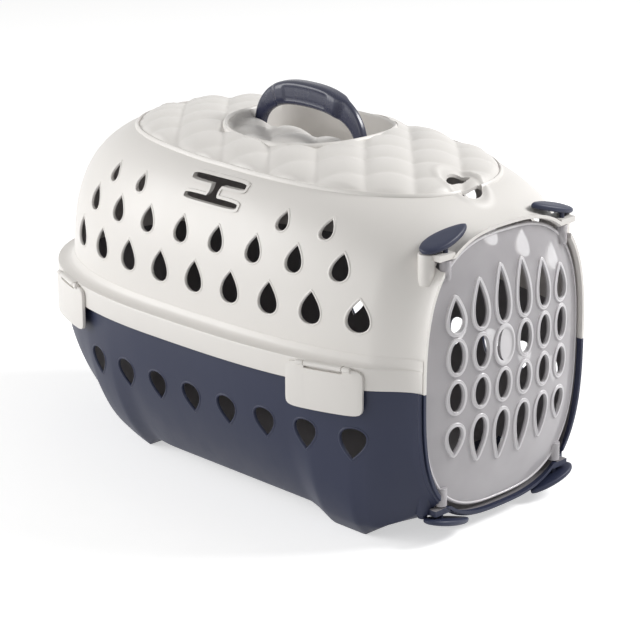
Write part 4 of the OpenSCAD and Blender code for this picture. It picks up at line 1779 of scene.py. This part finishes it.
@dataclass
class Clip:
    """One side clip that follows the flange."""

    x: float
    side: Side
    name: str
    length: float = 70
    low_z: float = 114
    axis_z: float = 153
    t: float = 2.8
    clear: float = 0.6
    notch: float = 35
    knuckle_r: float = 2.2
    knuckle_l: float = 7
    rod_r: float = 1.2
    slip: float = 0.06
    notch_z: float = 148.8
    lip_l: float = 36

    def chord(self) -> tuple[np.ndarray, np.ndarray, np.ndarray]:
        """Gives the flange's point at the clip's middle and its directions along and outward.

        Returns:
            The point, the direction along and the direction outward, each of 2 numbers.
        """
        a = -math.atan((FORM.rim_w(self.x + 1, 0) - FORM.rim_w(self.x - 1, 0)) / 2)
        along, out = np.array([math.cos(a), math.sin(a)]), np.array([math.sin(a), -math.cos(a)])
        return np.array([self.x, -FORM.rim_w(self.x, 0)]), along, out

    def on_side(self, obj: bpy.types.Object) -> bpy.types.Object:
        """Mirrors an object to the left where the clip sits there.

        Args:
            obj: The object, built for the right side.

        Returns:
            The object for the clip's side.
        """
        if self.side is Side.RIGHT:
            return obj
        other = Maker.flip_side(obj, obj.name + "_left")
        Maker.scrap(obj)
        return other

    def build(self) -> bpy.types.Object:
        """Builds the plate, its lip, knuckles and rod.

        Returns:
            The clip.
        """
        base, along, out = self.chord()

        def at(s: float, n: float, z: float) -> Point:
            """Places a point by its distance along the flange and outward."""
            q = base + along * s + out * n
            return (float(q[0]), float(q[1]), z)

        stations = np.linspace(self.x - 60, self.x + 60, 120)
        curve = np.array([[x, -FORM.rim_w(float(x), 0)] for x in stations]) - base
        cs, cn = curve @ along, curve @ out

        def face(s: float) -> float:
            """Gives the flange's face at a distance along the chord."""
            return float(np.interp(s, cs, cn))

        def bar(half_l: float, count: int, section: Sequence[Span]) -> list[np.ndarray]:
            """Sweeps a section, as distances off the flange's face and heights, along the flange."""
            places = [float(s) for s in np.linspace(-half_l, half_l, count)]
            return [np.array([at(s, face(s) + n, z) for n, z in section]) for s in places]

        def across(outline: Iterable[Sequence[float]]) -> list[np.ndarray]:
            """Places an outline, as distances along the flange and heights, inside and outside it."""
            points = list(outline)
            return [np.array([at(s, n, z) for s, z in points]) for n in (-20, 20)]

        half, n0, n1, z0 = self.length / 2, self.clear, self.clear + self.t, self.low_z - 2
        section = [(n0, z0), (n1, z0), (n1, self.axis_z), (n0, self.axis_z)]
        plate = Maker.rings(self.name + "_piece", bar(half + 2, 60, section))
        outline = oval(half, (self.axis_z - self.low_z) / 2, 9, 96)
        outline[:, 1] += (self.axis_z + self.low_z) / 2
        Maker.combine(plate, [Maker.rings("keep", across(outline))], "INTERSECT")
        nw, high = self.notch / 2, self.axis_z + 17
        gap = across([(-nw, self.notch_z), (nw, self.notch_z), (nw, high), (-nw, high)])
        Maker.combine(plate, [Maker.rings("gap", gap)], "DIFFERENCE")
        Maker.soften(plate, 0.8, 50, 3)
        z0, z1 = self.low_z + 0.6, self.low_z + 4
        adds = [Maker.rings("lip", bar(self.lip_l / 2, 20, [(-4, z0), (1.5, z0), (1.5, z1), (-4, z1)]))]
        r, z = self.knuckle_r, self.axis_z
        for s in (-1, 1):
            start, end = at(s * (nw + 0.3), r, z), at(s * (nw + 0.3 + self.knuckle_l), r, z)
            adds.append(Maker.rod("knuckle", start, end, r, 24, soft=0.3))
        adds.append(Maker.rod("rod", at(-nw - 2, r, z), at(nw + 2, r, z), self.rod_r, 24))
        Maker.combine(plate, adds, "UNION")
        plate = self.on_side(plate)
        dress(plate, SHELL, 40)
        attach(plate, self.name)
        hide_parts(self.name)
        return plate

    def lug(self) -> bpy.types.Object:
        """Builds the flange's lug that carries the clip.

        Returns:
            The lug.
        """
        base, along, out = self.chord()
        half = (self.notch - 1) / 2
        r, z0 = self.knuckle_r, self.axis_z
        turns = np.linspace(-np.pi / 2, np.pi / 2, 10)[1:-1]
        nose = [(r + r * math.cos(q), z0 + r * math.sin(q)) for q in turns]
        section = [(-1.5, z0 - r), (r, z0 - r), *nose, (r, z0 + r), (-1.5, z0 + r)]
        rings = [np.array([[*(base + along * s + out * n), z] for n, z in section]) for s in (-half, half)]
        lug = Maker.rings(f"lug_{self.name}", rings)
        start, end = (*(base - along * 40 + out * r), z0), (*(base + along * 40 + out * r), z0)
        Maker.combine(lug, [Maker.rod("bore", start, end, self.rod_r + self.slip, 24)], "DIFFERENCE")
        lug = self.on_side(lug)
        dress(lug, SHELL, 40)
        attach(lug, "shell")
        return lug


@dataclass
class Catch:
    """One corner catch: a leaf pad with its stem and locking pin."""

    side: Side
    level: Level
    name: str
    pad_l: float = 52
    pad_w: float = 22
    pad_x: float = 235
    low_x: float = 244
    slope: float = 14
    pitch: float = 5
    pad_z: float = 250.4
    blunt: float = 0.38

    def build(self) -> bpy.types.Object:
        """Builds the catch.

        Returns:
            The catch.
        """
        pad_x = self.pad_x if self.level is Level.TOP else self.low_x
        point = drop(self.pad_w, self.pad_l, 72)[::-1] * np.array([1, -1])
        blunt = oval(self.pad_w / 2, self.pad_l / 2, 2.2, 72)
        turned = np.roll(blunt, -int(np.argmin(np.hypot(*(blunt - point[0]).T))), axis=0)
        outline = (1 - self.blunt) * point + self.blunt * turned
        profile = [(0.90, 0.0), (0.97, 0.35), (1.0, 1.2), (1.0, 2.6), (0.975, 3.6), (0.92, 4.3), (0.82, 4.75),
                   (0.6, 5.0), (0.3, 5.05)]
        rings = [np.array([[x * k, (y + 4) * k - 4, z] for x, y in outline]) for k, z in profile]
        pad = Maker.rings("pad", rings)
        tip = Matrix.Rotation(math.radians(-self.slope), 4, "X")
        turn = Matrix.Rotation(math.radians(self.pitch), 4, "Y") @ tip
        place = Matrix.Translation(Vector((pad_x, FITTING.stem_y, self.pad_z)) * MM)
        pad.data.transform(place @ turn @ Matrix.Translation(Vector((0, -19, 0)) * MM))
        pin, stem = (FITTING.pin_x, FITTING.pin_y), (FITTING.stem_x, FITTING.stem_y)
        adds = [Maker.rod("pin", (*pin, 237), (*pin, 254.4), FITTING.pin_r, 32, soft=0.3),
                Maker.rod("stem", (*stem, 241), (*stem, 252.4), FITTING.stem_r, 40, soft=0.3)]
        piece = Maker.combine(pad, adds, "UNION")
        mirrors = []
        if self.side is Side.RIGHT:
            mirrors.append((1, 0.0))
        if self.level is Level.BOTTOM:
            mirrors.append((2, FORM.mid_z))
        for axis, about in mirrors:
            other = Maker.flip_side(piece, "pad", axis, about)
            Maker.scrap(piece)
            piece = other
        piece.name = self.name + "_piece"
        dress(piece, NAVY, 45)
        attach(piece, self.name)
        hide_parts(self.name)
        return piece


@dataclass(frozen=True)
class Lamp:
    """A soft square lamp, placed by its turn and lift from the camera's side."""

    name: str
    turn: float
    lift: float
    power: float
    distance: float = 2.6
    size: float = 1.5


@dataclass
class Studio:
    """The floor, the lights and the camera."""

    azimuth: float = 45.18
    elevation: float = 18.48
    distance: float = 2.0519
    target: Point = (0.02857, 0.0, 0.12402)
    lens: float = 129.07
    lit_point: Point = (0.0, 0.0, 0.12)
    surround: float = 0.27
    floor_glow: float = 0.54
    floor_half_l: float = 9000
    floor_z: float = -0.4
    lamps: tuple[Lamp, ...] = (Lamp("left", -90, 18, 38), Lamp("front", -45, 18, 12),
                               Lamp("right", 96, 36, 58, size=0.9))

    @staticmethod
    def ray(azimuth: float, elevation: float) -> Vector:
        """Gives the direction from the object to a place round it, in degrees."""
        a, e = math.radians(azimuth), math.radians(elevation)
        return Vector((math.sin(a) * math.cos(e), -math.cos(a) * math.cos(e), math.sin(e)))

    def camera(self) -> bpy.types.Object:
        """Places the camera at the photo's angle.

        Returns:
            The camera.
        """
        back = self.ray(self.azimuth, self.elevation)
        data = bpy.data.cameras.new("view")
        data.lens, data.sensor_width = self.lens, 36
        data.clip_start, data.clip_end = 0.05, 60
        cam = bpy.data.objects.new("view", data)
        bpy.context.scene.collection.objects.link(cam)
        cam.location = Vector(self.target) + back * self.distance
        cam.rotation_euler = back.to_track_quat("Z", "Y").to_euler()
        bpy.context.scene.camera = cam
        return cam

    @staticmethod
    def seen(tree: bpy.types.NodeTree) -> Value:
        """Tells the rays that show the backdrop from those that light the object.

        Args:
            tree: The shader's tree.

        Returns:
            1 for rays that show the backdrop, 0 for the others.
        """
        path = Finish.node(tree, "ShaderNodeLightPath", {}, {})
        kinds = [Value(tree, path.outputs[f"Is {kind} Ray"]) for kind in ("Camera", "Glossy", "Transmission")]
        return (kinds[0] + kinds[1] + kinds[2]).clipped()

    def floor(self) -> bpy.types.Object:
        """Lays a white floor that keeps the object's shadow.

        Returns:
            The floor.
        """
        r, z = self.floor_half_l, self.floor_z
        floor = Maker.solid("floor", [(-r, -r, z), (r, -r, z), (r, r, z), (-r, r, z)], [(0, 1, 2, 3)])
        mat = bpy.data.materials.new("floor_white")
        mat.use_nodes = True
        tree = mat.node_tree
        tree.nodes.clear()
        matte = Finish.node(tree, "ShaderNodeBsdfDiffuse", {}, {"Color": (0.80, 0.80, 0.80, 1)})
        glow = Finish.node(tree, "ShaderNodeEmission", {}, [(1, 1, 1, 1), self.floor_glow])
        both = Finish.node(tree, "ShaderNodeAddShader", {}, [matte.outputs[0], glow.outputs[0]])
        shaders = [self.seen(tree), matte.outputs[0], both.outputs[0]]
        mixed = Finish.node(tree, "ShaderNodeMixShader", {}, shaders)
        Finish.node(tree, "ShaderNodeOutputMaterial", {}, {"Surface": mixed.outputs[0]})
        floor.data.materials.append(mat)
        return floor

    def hang(self, lamp: Lamp) -> None:
        """Adds a soft square lamp that looks at the object.

        Args:
            lamp: The lamp.
        """
        data = bpy.data.lights.new(lamp.name, "AREA")
        data.shape, data.size, data.energy = "SQUARE", lamp.size, lamp.power
        obj = bpy.data.objects.new(lamp.name, data)
        bpy.context.scene.collection.objects.link(obj)
        back = self.ray(self.azimuth + lamp.turn, lamp.lift)
        obj.location = Vector(self.lit_point) + back * lamp.distance
        obj.rotation_euler = back.to_track_quat("Z", "Y").to_euler()

    def world(self) -> None:
        """Sets an even white surround."""
        world = bpy.data.worlds.new("surround")
        bpy.context.scene.world = world
        world.use_nodes = True
        tree = world.node_tree
        tree.nodes.clear()
        tone = {"Color": (1.0, 0.995, 0.985, 1), "Strength": self.surround}
        dim = Finish.node(tree, "ShaderNodeBackground", {}, tone)
        white = Finish.node(tree, "ShaderNodeBackground", {}, {"Color": (1, 1, 1, 1), "Strength": 1.0})
        shaders = [self.seen(tree), dim.outputs[0], white.outputs[0]]
        mixed = Finish.node(tree, "ShaderNodeMixShader", {}, shaders)
        Finish.node(tree, "ShaderNodeOutputWorld", {}, {"Surface": mixed.outputs[0]})

    def build(self) -> None:
        """Sets the whole stage."""
        self.camera()
        self.floor()
        self.world()
        for lamp in self.lamps:
            self.hang(lamp)
        bpy.context.scene.view_settings.view_transform = "Standard"


def main() -> None:
    """Builds the carrier in order and reports each piece."""
    logging.basicConfig(level=logging.INFO, format="%(name)s: %(message)s")
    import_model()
    Studio().build()
    LOG.info("stage set")
    UpperShell().build()
    LOG.info("upper shell built")
    LowerShell().build()
    LOG.info("lower shell built")
    Door().build()
    LOG.info("door built")
    Handle().build()
    LOG.info("handle built")
    for side in Side:
        for place, x in CLIP_STATIONS.items():
            clip = Clip(x, side, f"clip_{place}_{side.name.lower()}")
            clip.build()
            clip.lug()
            LOG.info("%s built", clip.name)
        for level in Level:
            catch = Catch(side, level, f"catch_{level.name.lower()}_{side.name.lower()}")
            catch.build()
            LOG.info("%s built", catch.name)


if __name__ == "__main__":
    main()
